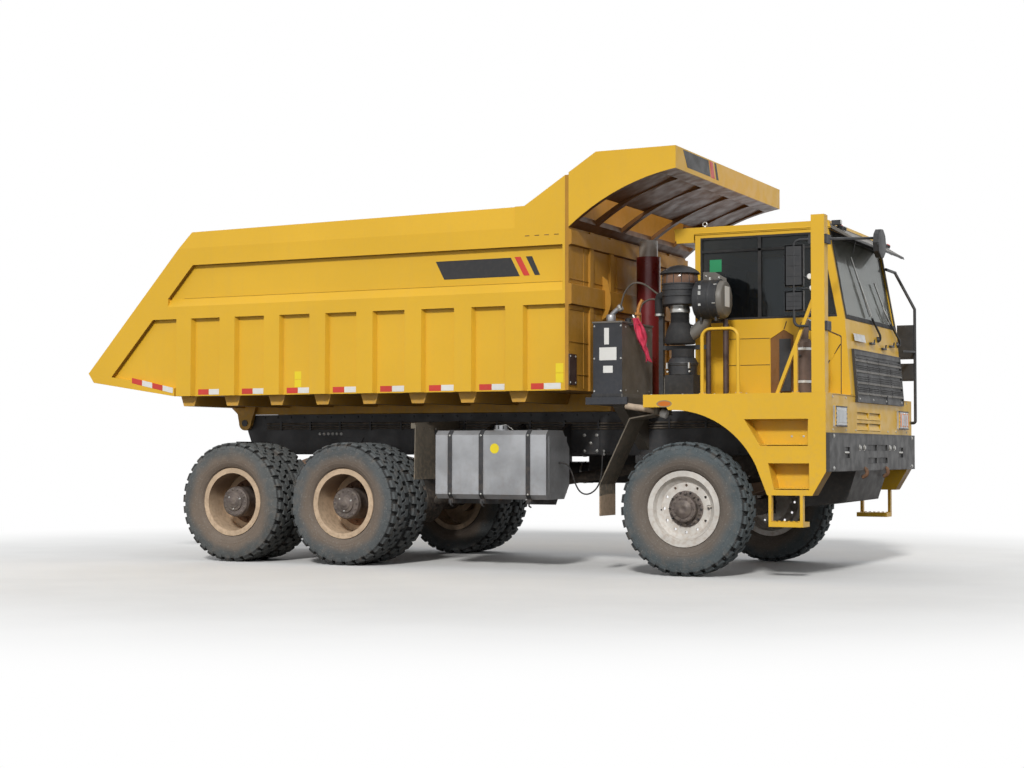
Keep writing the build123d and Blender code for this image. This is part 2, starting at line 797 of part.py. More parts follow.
# Mirrors on the corner post: a C-shaped tube with two mirror heads, and the look-down mirror
mirror_tube_x = front_axle_x + 1227
mirror_tube_radius = 14
mirror_line_y = -(deck_y - 17)
mirror_low_z = 2500
mirror_high_z = 3350
clamp_depth = post_depth + 25
with BuildPart() as mirrors:
    with BuildLine(Plane.XZ.offset(-mirror_line_y)):
        FilletPolyline(
            (post_rear_x, mirror_low_z),
            (mirror_tube_x, mirror_low_z),
            (mirror_tube_x, mirror_high_z),
            (post_rear_x, mirror_high_z),
            radius=60,
        )
    with BuildSketch(Plane.YZ.offset(post_rear_x)):
        with Locations((mirror_line_y, mirror_low_z)):
            Circle(mirror_tube_radius)
    sweep()
    for low_z, high_z in (
        (mirror_high_z - 457, mirror_high_z - 44),
        (mirror_low_z + 150, mirror_low_z + 350),
    ):
        with BuildSketch(Plane.XZ.offset(deck_y - 55)):
            with Locations((mirror_tube_x, (low_z + high_z) / 2)):
                Rectangle(190, high_z - low_z)
        extrude(amount=50)
    paddle_x = front_axle_x + front_mirror_reach - 50
    paddle_y = -700
    paddle_z = mirror_high_z + 40
    arm_root = Vector(post_front_x - 5, -(deck_y - 40), mirror_high_z)
    arm_tip = Vector(paddle_x, paddle_y, paddle_z + 60)
    with BuildSketch(Plane(arm_root, z_dir=arm_tip - arm_root)):
        Circle(mirror_tube_radius)
    extrude(amount=(arm_tip - arm_root).length)
    with BuildSketch(Plane.YZ.offset(front_axle_x + front_mirror_reach - 60)):
        with Locations((paddle_y, paddle_z)):
            RegularPolygon(150, 10)
    extrude(amount=60)
    # Clamps round the post's front, rear and inner faces
    for clamp_z in (mirror_low_z, mirror_high_z):
        with BuildSketch(Plane.XY.offset(clamp_z - 45)):
            with Locations(((post_rear_x + post_front_x) / 2, -(deck_y - clamp_depth / 2))):
                Rectangle(post_front_x - post_rear_x + 50, clamp_depth)
        extrude(amount=90)
    with BuildSketch(Plane.XY.offset(deck_top_z)):
        with Locations(((post_rear_x + post_front_x) / 2, -(deck_y - post_depth / 2))):
            Rectangle(
                post_front_x - post_rear_x + 2 * seat_gap, post_depth + 2 * seat_gap
            )
    extrude(amount=corner_post_top_z - deck_top_z, mode=Mode.SUBTRACT)
write(mirrors, "mirrors")

# Left handrail: a black tube from the brow of the cab down to the front panel
hand_x = front_axle_x + 1600
hand_y = deck_y - 40
hand_radius = 17
hand_top_z = 3330
pillar_slope = (cab_waist_x - cab_brow_x) / (cab_eave_z - cab_sill_z + 24)
hand_top_x = cab_waist_x - pillar_slope * (hand_top_z - cab_sill_z + 24) + hand_radius + 3
with BuildPart() as handrail:
    with BuildLine(Plane.XZ.offset(-hand_y)):
        FilletPolyline(
            (bumper_mid_x, 1600),
            (hand_x, 1600),
            (hand_x, hand_top_z - 430),
            (hand_top_x, hand_top_z),
            radius=25,
        )
    with BuildSketch(Plane.YZ.offset(bumper_mid_x)):
        with Locations((hand_y, 1600)):
            Circle(hand_radius)
    sweep()
    with BuildSketch(Plane.XZ.offset(-hand_y - hand_radius)):
        with Locations((hand_top_x, hand_top_z)):
            Circle(hand_radius)
    extrude(amount=hand_y + hand_radius - cab_left_y + 40)
    for low_z, high_z in ((2330, 2720), (2080, 2280)):
        with BuildSketch(Plane.XZ.offset(-(deck_y - 15))):
            with Locations((hand_x - 105, (low_z + high_z) / 2)):
                Rectangle(190, high_z - low_z)
        extrude(amount=50)
write(handrail, "left_handrail")

# Cab shell: side outline across the width, hollowed, windows and the left doorway cut
cab_outline = [
    (cab_rear_x, cab_floor_z),
    (cab_foot_x, cab_floor_z),
    (cab_waist_x, cab_sill_z - 24),
    (cab_brow_x, cab_eave_z),
    (cab_rear_x, cab_eave_z),
]
cab_inside = [
    (cab_rear_x + cab_wall, cab_floor_z + cab_wall),
    (cab_foot_x - cab_wall - 5, cab_floor_z + cab_wall),
    (cab_waist_x - cab_wall, cab_sill_z - 24),
    (cab_brow_x - cab_wall, cab_eave_z),
    (cab_rear_x + cab_wall, cab_eave_z),
]
window_low_z = cab_sill_z + 15
window_high_z = cab_eave_z - 35
side_window = [
    (cab_rear_x + 60, window_low_z),
    (cab_waist_x - 80, window_low_z),
    (cab_brow_x - 80, window_high_z),
    (cab_rear_x + 60, window_high_z),
]
door_hinge_x = cab_waist_x - 90
door_rear_x = door_hinge_x - 880
left_window = [
    (cab_rear_x + 60, window_low_z),
    (door_rear_x - 80, window_low_z),
    (door_rear_x - 80, window_high_z),
    (cab_rear_x + 60, window_high_z),
]
door_low_z = cab_floor_z + 55
door_outline = [
    (door_rear_x, door_low_z),
    (door_hinge_x - swing_gap, door_low_z),
    (door_hinge_x - swing_gap, cab_sill_z),
    (cab_brow_x - 90, window_high_z),
    (door_rear_x, window_high_z),
]
doorway_outline = [
    (door_rear_x - swing_gap, door_low_z - swing_gap),
    (door_hinge_x, door_low_z - swing_gap),
    (door_hinge_x, cab_sill_z),
    (cab_brow_x - 80, window_high_z + swing_gap),
    (door_rear_x - swing_gap, window_high_z + swing_gap),
]
door_hinge_y = cab_left_y + 16
door_hinge_levels = [cab_floor_z + 230, cab_sill_z - 90]
door_barrel_radius = 14
door_barrel_half = 22
door_pin_radius = 8
hinge_ear = 14
cab_width = cab_left_y - cab_right_y
with BuildPart() as cab:
    with BuildSketch(Plane.XZ.offset(-cab_left_y)):
        Polygon(*cab_outline, align=None)
    extrude(amount=cab_width)
    with BuildSketch(Plane.XZ.offset(-cab_left_y + cab_wall)):
        Polygon(*cab_inside, align=None)
    extrude(amount=cab_width - 2 * cab_wall, mode=Mode.SUBTRACT)
    # Right side window
    with BuildSketch(Plane.XZ.offset(-cab_right_y)):
        Polygon(*side_window, align=None)
    extrude(amount=-cab_wall, mode=Mode.SUBTRACT)
    # Left doorway and the fixed window behind it
    with BuildSketch(Plane.XZ.offset(-cab_left_y)):
        Polygon(*doorway_outline, align=None)
        Polygon(*left_window, align=None)
    extrude(amount=cab_wall, mode=Mode.SUBTRACT)
    # Windscreen and rear window, cut through along the length
    with BuildSketch(Plane.YZ.offset(cab_foot_x)):
        with Locations(((cab_left_y + cab_right_y) / 2, (window_low_z + window_high_z) / 2)):
            Rectangle(cab_width - 120, window_high_z - window_low_z)
    extrude(amount=-500, mode=Mode.SUBTRACT)
    with BuildSketch(Plane.YZ.offset(cab_rear_x)):
        with Locations(((cab_left_y + cab_right_y) / 2, (window_low_z + window_high_z) / 2 + 60)):
            Rectangle(1100, 480)
    extrude(amount=cab_wall, mode=Mode.SUBTRACT)
    # Door hinge pins, each held between two ears
    for hinge_mid_z in door_hinge_levels:
        for ear_z in (
            hinge_mid_z - door_barrel_half - hinge_ear - 1,
            hinge_mid_z + door_barrel_half + 1,
        ):
            with BuildSketch(Plane.XY.offset(ear_z)):
                with Locations((door_hinge_x, door_hinge_y)):
                    Circle(door_barrel_radius)
                with Locations((door_hinge_x + 22, (cab_left_y + door_hinge_y) / 2 + 7)):
                    Rectangle(44, door_hinge_y - cab_left_y + 14)
            extrude(amount=hinge_ear)
        with BuildSketch(Plane.XY.offset(hinge_mid_z - door_barrel_half - hinge_ear)):
            with Locations((door_hinge_x, door_hinge_y)):
                Circle(door_pin_radius)
        extrude(amount=2 * (door_barrel_half + hinge_ear))
    # Mount pads on the deck beams
    with BuildSketch(Plane.XY.offset(deck_top_z - deck_plate)):
        with Locations(
            *[
                (front_axle_x + station, y)
                for station in deck_beam_stations
                for y in (cab_right_y + 120, cab_left_y - 120)
            ]
        ):
            Rectangle(70, 70)
    extrude(amount=cab_floor_z - deck_top_z + deck_plate)
write(cab, "cab_shell")

# Cab roof: slab with a rear rollover beam
roof_overhang = 10
with BuildPart() as roof:
    with BuildSketch(Plane.XZ.offset(-cab_left_y - roof_overhang)):
        Polygon(
            (cab_rear_x - roof_overhang, cab_eave_z),
            (cab_brow_x + 30, cab_eave_z),
            (cab_brow_x + 10, cab_roof_z),
            (cab_rear_x - roof_overhang, cab_roof_z),
            align=None,
        )
    extrude(amount=cab_width + 2 * roof_overhang)
    with BuildSketch(Plane.XZ.offset(-cab_left_y - roof_overhang)):
        Polygon(
            (cab_rear_x - roof_overhang, cab_eave_z - 80),
            (cab_rear_x - roof_overhang, cab_roof_z),
            (cab_rear_x - 235, cab_roof_z),
            (cab_rear_x - 205, cab_eave_z - 80),
            align=None,
        )
    extrude(amount=cab_width + 2 * roof_overhang)
write(roof, "cab_roof")

# Glass panes, each held inside its wall
glass = 8
pane_gap = seat_gap
with BuildPart() as panes:
    with BuildSketch(Plane.XZ.offset(-cab_right_y - 20)):
        Polygon(*side_window, align=None)
        offset(amount=-pane_gap, kind=Kind.INTERSECTION, mode=Mode.REPLACE)
    extrude(amount=-glass)
    with BuildSketch(Plane.XZ.offset(-cab_left_y + 20)):
        Polygon(*left_window, align=None)
        offset(amount=-pane_gap, kind=Kind.INTERSECTION, mode=Mode.REPLACE)
    extrude(amount=glass)
    with BuildSketch(Plane.YZ.offset(cab_rear_x + 20)):
        with Locations(((cab_left_y + cab_right_y) / 2, (window_low_z + window_high_z) / 2 + 60)):
            Rectangle(1100 - 2 * pane_gap, 480 - 2 * pane_gap)
    extrude(amount=glass)
    screen_dx = cab_waist_x - cab_brow_x
    screen_dz = cab_eave_z - cab_sill_z + 24
    screen_y = cab_width / 2 - 60 - pane_gap
    with BuildSketch(Plane.XZ.offset(-(cab_left_y + cab_right_y) / 2 - screen_y)):
        screen_low_x = cab_waist_x - screen_dx * (window_low_z - cab_sill_z + 24) / screen_dz
        screen_high_x = cab_waist_x - screen_dx * (window_high_z - cab_sill_z + 24) / screen_dz
        Polygon(
            (screen_low_x - 18, window_low_z + pane_gap),
            (screen_low_x - 18 - glass, window_low_z + pane_gap),
            (screen_high_x - 18 - glass, window_high_z - pane_gap),
            (screen_high_x - 18, window_high_z - pane_gap),
            align=None,
        )
    extrude(amount=2 * screen_y)
write(panes, "cab_glass")

# Left door, hinged at its front edge, with its own window opening
door_window = [
    (door_rear_x + 60, window_low_z),
    (door_hinge_x - 70, window_low_z),
    (cab_brow_x - 150, window_high_z - 60),
    (door_rear_x + 60, window_high_z - 60),
]
with BuildPart() as door:
    with BuildSketch(Plane.XZ.offset(-cab_left_y)):
        Polygon(*door_outline, align=None)
        Polygon(*door_window, align=None, mode=Mode.SUBTRACT)
    extrude(amount=cab_wall)
    with BuildSketch(Plane.XZ.offset(-cab_left_y + 20)):
        Polygon(*door_window, align=None)
    extrude(amount=glass)
    # Hinge straps with their barrels
    for hinge_mid_z in door_hinge_levels:
        with BuildSketch(Plane.XY.offset(hinge_mid_z - door_barrel_half)):
            with Locations((door_hinge_x, door_hinge_y)):
                Circle(door_barrel_radius)
            with Locations((door_hinge_x - 60, cab_left_y + 12)):
                Rectangle(120, 24)
            with Locations((door_hinge_x, door_hinge_y)):
                Circle(door_pin_radius + running_gap, mode=Mode.SUBTRACT)
            with Locations((door_hinge_x + 20, cab_left_y)):
                Rectangle(45, 3, mode=Mode.SUBTRACT)
        extrude(amount=2 * door_barrel_half)
write(door, "cab_door")

# Seats and dashboard on the cab floor
seat_x = front_axle_x + 380
cab_inside_floor_z = cab_floor_z + cab_wall
with BuildPart() as seats:
    for seat_y in (-250, 750):
        with BuildSketch(Plane.XZ.offset(-seat_y - 260)):
            Polygon(
                (seat_x - 260, cab_inside_floor_z),
                (seat_x + 200, cab_inside_floor_z),
                (seat_x + 280, cab_inside_floor_z + 560),
                (seat_x - 180, cab_inside_floor_z + 560),
                (seat_x - 270, cab_inside_floor_z + 1160),
                (seat_x - 380, cab_inside_floor_z + 1160),
                (seat_x - 300, cab_inside_floor_z + 400),
                align=None,
            )
        extrude(amount=520)
write(seats, "seats")

with BuildPart() as dashboard:
    with BuildSketch(Plane.XZ.offset(-cab_left_y + cab_wall + 10)):
        Polygon(
            (cab_waist_x - 60, cab_inside_floor_z),
            (cab_waist_x - 60, cab_sill_z - 30),
            (cab_waist_x - 340, cab_sill_z - 60),
            (cab_waist_x - 380, cab_sill_z - 220),
            (cab_waist_x - 200, cab_sill_z - 420),
            (cab_waist_x - 200, cab_inside_floor_z),
            align=None,
        )
    extrude(amount=cab_width - 2 * cab_wall - 20)
    column = Plane((cab_waist_x - 330, 750, cab_sill_z - 120), z_dir=(-1, 0, 1.4))
    with BuildSketch(column):
        Circle(28)
    extrude(amount=220)
    with BuildSketch(column.offset(210)):
        Circle(230)
        Circle(195, mode=Mode.SUBTRACT)
        Rectangle(400, 40)
    extrude(amount=24)
write(dashboard, "dashboard")

# Sun visor over the windscreen
with BuildPart() as visor:
    with BuildSketch(Plane.XZ.offset(-cab_left_y)):
        Polygon(
            (cab_brow_x + 20 + seat_gap, cab_eave_z + 40),
            (cab_brow_x + 260, cab_eave_z - 110),
            (cab_brow_x + 250, cab_eave_z - 130),
            (cab_brow_x + 30 + seat_gap, cab_eave_z),
            align=None,
        )
    extrude(amount=cab_width)
write(visor, "sun_visor")

# Grille standing proud of the cab front
grille_low_z = 1780
grille_high_z = 2330
grille_groove = 12
grille_rows = [1850, 1960, 2080, 2190, 2260]
grille_columns = [-200, 270, 740]
with BuildPart() as grille:
    slope = (cab_foot_x - cab_waist_x) / (cab_sill_z - 24 - cab_floor_z)
    grille_high_x = cab_foot_x - slope * (grille_high_z - cab_floor_z) + 1
    with BuildSketch(Plane.XZ.offset(-1250)):
        Polygon(
            (cab_foot_x + seat_gap, grille_low_z),
            (cab_foot_x + 25, grille_low_z),
            (cab_foot_x + 25, cab_floor_z),
            (grille_high_x + 25, grille_high_z),
            (grille_high_x, grille_high_z),
            (cab_foot_x + seat_gap, cab_floor_z),
            align=None,
        )
    extrude(amount=1900)
    # Grooves that part it into rows and columns of blocks
    for z in grille_rows:
        groove_x = cab_foot_x + 25 - slope * (z - cab_floor_z)
        with BuildSketch(Plane.XZ.offset(-1230)):
            with Locations((groove_x, z)):
                Rectangle(2 * grille_groove, 26)
        extrude(amount=1860, mode=Mode.SUBTRACT)
    for y in grille_columns:
        with BuildSketch(Plane.XZ.offset(-y - 8)):
            Polygon(
                (cab_foot_x + 25 - grille_groove, grille_low_z + 60),
                (cab_foot_x + 60, grille_low_z + 60),
                (cab_foot_x + 60, grille_high_z - 90),
                (grille_high_x + 32 - grille_groove, grille_high_z - 90),
                (cab_foot_x + 25 - grille_groove, cab_floor_z),
                align=None,
            )
        extrude(amount=16, mode=Mode.SUBTRACT)
write(grille, "grille")

# Headlamps set on the front panel
lamp_y = 1250
lamp_z = 1622
with BuildPart() as headlamps:
    for lamp_half, lamp_height, lamp_depth in ((205, 205, 22), (175, 175, 32)):
        with BuildSketch(Plane.YZ.offset(bumper_mid_x)):
            with Locations((-lamp_y, lamp_z), (lamp_y, lamp_z)):
                Rectangle(2 * lamp_half, lamp_height)
        extrude(amount=lamp_depth)
write(headlamps, "headlamps")

# Air cleaner: capped pre-cleaner drum, throat, level canister, lower box and stand
cleaner_x = front_axle_x - 20
cleaner_y = -1350
with BuildPart() as air_cleaner:
    with BuildSketch(Plane.XZ.offset(-cleaner_y)):
        with BuildLine():
            Polyline(
                (cleaner_x, 2100),
                (cleaner_x + 98, 2100),
                (cleaner_x + 98, 2745),
                (cleaner_x + 190, 2745),
                (cleaner_x + 190, 3130),
                (cleaner_x + 208, 3130),
                (cleaner_x + 150, 3175),
                (cleaner_x, 3200),
                close=True,
            )
        make_face()
    revolve(axis=Axis((cleaner_x, cleaner_y, 0), (0, 0, 1)))
    with BuildSketch(Plane.YZ.offset(cleaner_x + 110)):
        with Locations((cleaner_y, 2830)):
            Circle(205)
    extrude(amount=330)
    with BuildSketch(Plane.XZ.offset(-cleaner_y - 90)):
        Polygon(
            (cleaner_x, 2390),
            (cleaner_x + 180, 2390),
            (cleaner_x + 300, 2640),
            (cleaner_x + 98, 2560),
            (cleaner_x, 2560),
            align=None,
        )
    extrude(amount=180)
    with BuildSketch(Plane.XY.offset(2040)):
        with Locations((cleaner_x, cleaner_y)):
            Rectangle(290, 260)
    extrude(amount=190)
    for x in (cleaner_x - 210, cleaner_x + 210):
        with BuildSketch(Plane.XY.offset(deck_top_z)):
            with Locations((x, cleaner_y + 160)):
                Rectangle(50, 50)
        extrude(amount=1000)
    for z in (2100, 2800):
        with BuildSketch(Plane.XY.offset(z)):
            with Locations((cleaner_x, cleaner_y + 160)):
                Rectangle(420, 50)
        extrude(amount=50)
write(air_cleaner, "air_cleaner")

# Upright silencer on the right deck
with BuildPart() as silencer:
    with BuildSketch(Plane.XZ.offset(1200)):
        with BuildLine():
            Polyline(
                (front_axle_x + 1168, deck_top_z),
                (front_axle_x + 1263, deck_top_z),
                (front_axle_x + 1263, 2370),
                (front_axle_x + 1230, 2405),
                (front_axle_x + 1168, 2405),
                close=True,
            )
        make_face()
    revolve(axis=Axis((front_axle_x + 1168, -1200, 0), (0, 0, 1)))
write(silencer, "silencer")

# Fuel tank: eight-sided section along the truck
tank_front_x = front_axle_x - 1535
tank_rear_x = front_axle_x - 2867
tank_outer_y = -1560
tank_inner_y = -970
tank_low_z = 757
tank_high_z = 1495
tank_section = [
    (tank_outer_y, tank_low_z + 50),
    (tank_outer_y + 50, tank_low_z),
    (tank_inner_y - 130, tank_low_z),
    (tank_inner_y, tank_low_z + 150),
    (tank_inner_y, tank_high_z - 190),
    (tank_inner_y - 170, tank_high_z),
    (tank_outer_y + 50, tank_high_z),
    (tank_outer_y, tank_high_z - 50),
]
with BuildPart() as fuel_tank:
    with BuildSketch(Plane.YZ.offset(tank_rear_x)):
        Polygon(*tank_section, align=None)
    extrude(amount=tank_front_x - tank_rear_x)
    with BuildSketch(Plane.XY.offset(tank_high_z)):
        with Locations((front_axle_x - 2128, tank_outer_y + 130)):
            Circle(70)
    extrude(amount=55)
write(fuel_tank, "fuel_tank")

# Tank brackets: an L behind and below the tank at each strap, out from the rail
strap_stations = [-2689, -2309, -1746]
strap_wall = 7
with BuildPart() as tank_brackets:
    for station in strap_stations:
        with BuildSketch(Plane.YZ.offset(front_axle_x + station - 25)):
            Polygon(
                (-rail_y - seat_gap, rail_top_z - 120),
                (-rail_y - seat_gap, rail_bottom_z),
                (tank_inner_y + 60, tank_low_z - 70),
                (tank_outer_y + 20, tank_low_z - 50),
                (tank_outer_y + 20, tank_low_z - seat_gap),
                (tank_inner_y + seat_gap, tank_low_z - seat_gap),
                (tank_inner_y + seat_gap, tank_high_z - 100),
                align=None,
            )
        extrude(amount=50)
        # Strap round the tank
        with BuildSketch(Plane.YZ.offset(front_axle_x + station - 25)):
            Polygon(*tank_section, align=None)
            offset(amount=seat_gap + strap_wall, kind=Kind.INTERSECTION, mode=Mode.REPLACE)
        extrude(amount=50)
        with BuildSketch(Plane.YZ.offset(front_axle_x + station - 25)):
            Polygon(*tank_section, align=None)
            offset(amount=seat_gap, kind=Kind.INTERSECTION, mode=Mode.REPLACE)
        extrude(amount=50, mode=Mode.SUBTRACT)
write(tank_brackets, "tank_brackets")

# Hydraulic tank on its tray, bracketed out from the rail
hyd_rear_x = front_axle_x - 1017
hyd_front_x = front_axle_x - 688
hyd_outer_y = -1500
hyd_inner_y = -660
tray_low_z = 1760
tray_top_z = 1836
with BuildPart() as hydraulic_tank:
    with BuildSketch(Plane.XY.offset(tray_top_z)):
        with Locations(((hyd_rear_x + hyd_front_x) / 2, (hyd_outer_y + hyd_inner_y) / 2)):
            Rectangle(hyd_front_x - hyd_rear_x, hyd_inner_y - hyd_outer_y)
    extrude(amount=2620 - tray_top_z)
    with BuildSketch(Plane.XY.offset(tray_low_z)):
        with Locations(((hyd_rear_x + hyd_front_x) / 2, (hyd_outer_y - 20 + hyd_inner_y) / 2)):
            Rectangle(hyd_front_x - hyd_rear_x + 140, hyd_inner_y - hyd_outer_y + 60)
    extrude(amount=tray_top_z - tray_low_z)
    with BuildSketch(Plane.YZ.offset((hyd_rear_x + hyd_front_x) / 2 - 60)):
        Polygon(
            (-rail_y - seat_gap, tray_low_z - 60),
            (-rail_y - seat_gap, rail_bottom_z + 60),
            (hyd_outer_y + 300, tray_low_z - 30),
            (hyd_outer_y + 300, tray_low_z),
            (hyd_inner_y, tray_low_z),
            align=None,
        )
    extrude(amount=120)
write(hydraulic_tank, "hydraulic_tank")

# Guard arches behind the front wheels, with a hanging flap
guard_wall = 12
flap_x = front_axle_x - 3140
with BuildPart() as guards:
    for side in (right, left):
        with BuildSketch(Plane.XZ.offset(-side * 1180)):
            with BuildLine():
                Polyline(
                    (front_axle_x - 912, 600),
                    (front_axle_x - 912, 932),
                    (front_axle_x - 574, 1616),
                    (front_axle_x - 300, 1660),
                    (front_axle_x - 300, 1660 - guard_wall),
                    (front_axle_x - 566, 1616 - guard_wall),
                    (front_axle_x - 912 + guard_wall, 928),
                    (front_axle_x - 912 + guard_wall, 600),
                    close=True,
                )
            make_face()
        extrude(amount=-side * 400)
        with BuildSketch(Plane.XY.offset(1648)):
            with Locations((front_axle_x - 280, side * 1380)):
                Rectangle(40, 400)
        extrude(amount=deck_top_z - deck_plate - 1648 - seat_gap)

    # Mud flaps ahead of the middle wheels
    for side in (right, left):
        with BuildSketch(Plane.YZ.offset(flap_x)):
            Polygon(
                (side * 1560, 960),
                (side * 1030, 960),
                (side * 1130, 1560),
                (side * 1540, 1560),
                align=None,
            )
        extrude(amount=12)
        with BuildSketch(Plane.YZ.offset(flap_x)):
            Polygon(
                (side * (rail_y + seat_gap), 1500),
                (side * 1540, 1520),
                (side * 1540, 1580),
                (side * (rail_y + seat_gap), 1620),
                align=None,
            )
        extrude(amount=-50)
write(guards, "mud_guards")

# Battery box and air tanks on the left rail
with BuildPart() as battery_box:
    with BuildSketch(Plane.XY.offset(900)):
        with Locations((front_axle_x - 1800, 1100)):
            Rectangle(600, 560)
    extrude(amount=480)
    with BuildSketch(Plane.XY.offset(1300)):
        with Locations((front_axle_x - 1800, (rail_y + 900) / 2)):
            Rectangle(400, 900 - rail_y - 2 * seat_gap)
    extrude(amount=80)
write(battery_box, "battery_box")

with BuildPart() as air_tanks:
    for z in (1020, 1340):
        with BuildSketch(Plane.YZ.offset(front_axle_x - 2900)):
            with Locations((1150, z)):
                Circle(130)
        extrude(amount=700)
    with BuildSketch(Plane.XZ.offset(-rail_y - seat_gap)):
        with Locations((front_axle_x - 2550, 1300)):
            Rectangle(120, 120)
    extrude(amount=-(1150 - rail_y - 100))
    with BuildSketch(Plane.XY.offset(1100)):
        with Locations((front_axle_x - 2550, 1150)):
            Rectangle(120, 80)
    extrude(amount=180)
write(air_tanks, "air_tanks")

# Dump box floor: plate with its kick-up, girders, a hat section under each rib, hinge lugs
kick_slope = (tail_low_z - floor_bottom_z) / (kick_x - tail_low_x)
rib_stations = [rib_first_x + i * rib_pitch for i in range(rib_count)]
girder_half = 50
with BuildPart() as box_floor:
    with BuildSketch(Plane.XZ.offset(-wall_inner_y + seat_gap)):
        Polygon(
            (box_front_x, floor_bottom_z),
            (box_front_x, floor_bottom_z + floor_plate),
            (kick_x, floor_bottom_z + floor_plate),
            (tail_low_x, tail_low_z + floor_plate),
            (tail_low_x, tail_low_z),
            (kick_x, floor_bottom_z),
            align=None,
        )
    extrude(amount=2 * (wall_inner_y - seat_gap))
    for station in rib_stations:
        with BuildSketch(Plane.XZ.offset(-wall_inner_y + 20)):
            Polygon(
                (station - 10, floor_bottom_z),
                (station + rib_width + 10, floor_bottom_z),
                (station + rib_width - 30, floor_bottom_z - 115),
                (station + 30, floor_bottom_z - 115),
                align=None,
            )
        extrude(amount=2 * (wall_inner_y - 20))
    for side in (right, left):
        with BuildSketch(Plane.XZ.offset(-side * rail_y)):
            Polygon(
                (box_front_x, girder_bottom_z),
                (box_front_x, floor_bottom_z),
                (kick_x - 200, floor_bottom_z + 200 * kick_slope),
                (kick_x + 60, girder_bottom_z),
                align=None,
            )
        extrude(amount=side * 2 * girder_half)
        # Hinge lug outside the rail, with its web up to the floor
        with BuildSketch(Plane.XZ.offset(-side * (rail_y + 10))):
            Polygon(
                (hinge_x - hinge_lug_radius, hinge_z),
                (hinge_x - hinge_lug_radius - 60, floor_bottom_z),
                (hinge_x + hinge_lug_radius + 100, floor_bottom_z),
                (hinge_x + hinge_lug_radius, hinge_z),
                align=None,
            )
            with Locations((hinge_x, hinge_z)):
                Circle(hinge_lug_radius)
        extrude(amount=-side * hinge_lug_wall)
        with BuildSketch(Plane.XZ.offset(-side * (rail_y + 10))):
            with Locations((hinge_x, hinge_z)):
                Circle(hinge_pin_radius + running_gap)
        extrude(amount=-side * hinge_lug_wall, mode=Mode.SUBTRACT)
write(box_floor, "box_floor")

# Side walls: plate with rails, ribs and the slanted rear border standing out
ramp_slope = (canopy_top_z - ramp_z) / (canopy_back_x - ramp_x)
front_wall_top_z = ramp_z + (box_front_x - ramp_x) * ramp_slope
side_outline = [
    (box_front_x, floor_bottom_z),
    (box_front_x, front_wall_top_z),
    (ramp_x, ramp_z),
    (rail_rear_top_x, rail_rear_top_z),
    (tail_x, tail_top_z),
    (tail_low_x, tail_low_z),
    (kick_x, floor_bottom_z),
]
rear_slope = (rail_rear_top_x - tail_x) / (rail_rear_top_z - tail_top_z)
border_width = 390
border_low_z = tail_top_z - 49
kick_band = 95
band_fold_z = ramp_z - 230
band_lean = 32


def border_x(z):
    return tail_x + (z - tail_top_z) * rear_slope + border_width


with BuildPart() as box_sides:
    for side in (right, left):
        with BuildSketch(Plane.XZ.offset(-side * wall_inner_y)):
            Polygon(*side_outline, align=None)
        extrude(amount=-side * (wall_outer_y - wall_inner_y))
        with BuildSketch(Plane.XZ.offset(-side * wall_outer_y)):
            Polygon(*side_outline, align=None)
            # Long upper recess, then the ribbed zone from the slanted border to the front
            Polygon(
                (border_x(recess_top_z), recess_top_z),
                (border_x(recess_bottom_z), recess_bottom_z),
                (box_front_x - 30, recess_bottom_z),
                (box_front_x - 30, recess_top_z),
                align=None,
                mode=Mode.SUBTRACT,
            )
            Polygon(
                (border_x(mid_rail_bottom_z), mid_rail_bottom_z),
                (border_x(border_low_z), border_low_z),
                (kick_x, floor_bottom_z + kick_band),
                (kick_x, floor_bottom_z - 1),
                (box_front_x + 1, floor_bottom_z - 1),
                (box_front_x + 1, mid_rail_bottom_z),
                align=None,
                mode=Mode.SUBTRACT,
            )
        extrude(amount=-side * (box_y - wall_outer_y))
        # The top band leans in above its fold, and the mid rail's upper face slopes out
        with BuildSketch(Plane.YZ.offset(ramp_x - 110)):
            Polygon(
                (side * (box_y + 1), band_fold_z),
                (side * (box_y + 1), ramp_z + 5),
                (side * (box_y - band_lean), ramp_z + 5),
                (side * box_y, band_fold_z),
                align=None,
            )
        extrude(amount=tail_x - ramp_x, mode=Mode.SUBTRACT)
        with BuildSketch(Plane.YZ.offset(border_x(recess_bottom_z))):
            Polygon(
                (side * (box_y + 1), mid_rail_top_z),
                (side * (box_y + 1), recess_bottom_z + 1),
                (side * wall_outer_y, recess_bottom_z + 1),
                (side * box_y, mid_rail_top_z),
                align=None,
            )
        extrude(amount=box_front_x - 30 - border_x(recess_bottom_z), mode=Mode.SUBTRACT)
        # Ribs with chamfered flanks, up under the mid rail
        with BuildSketch(Plane.XY.offset(floor_bottom_z)):
            for station in rib_stations:
                Polygon(
                    (station - rib_flank, side * wall_outer_y),
                    (station, side * box_y),
                    (station + rib_width, side * box_y),
                    (station + rib_width + rib_flank, side * wall_outer_y),
                    align=None,
                )
        extrude(amount=mid_rail_bottom_z - floor_bottom_z)
write(box_sides, "box_sides")

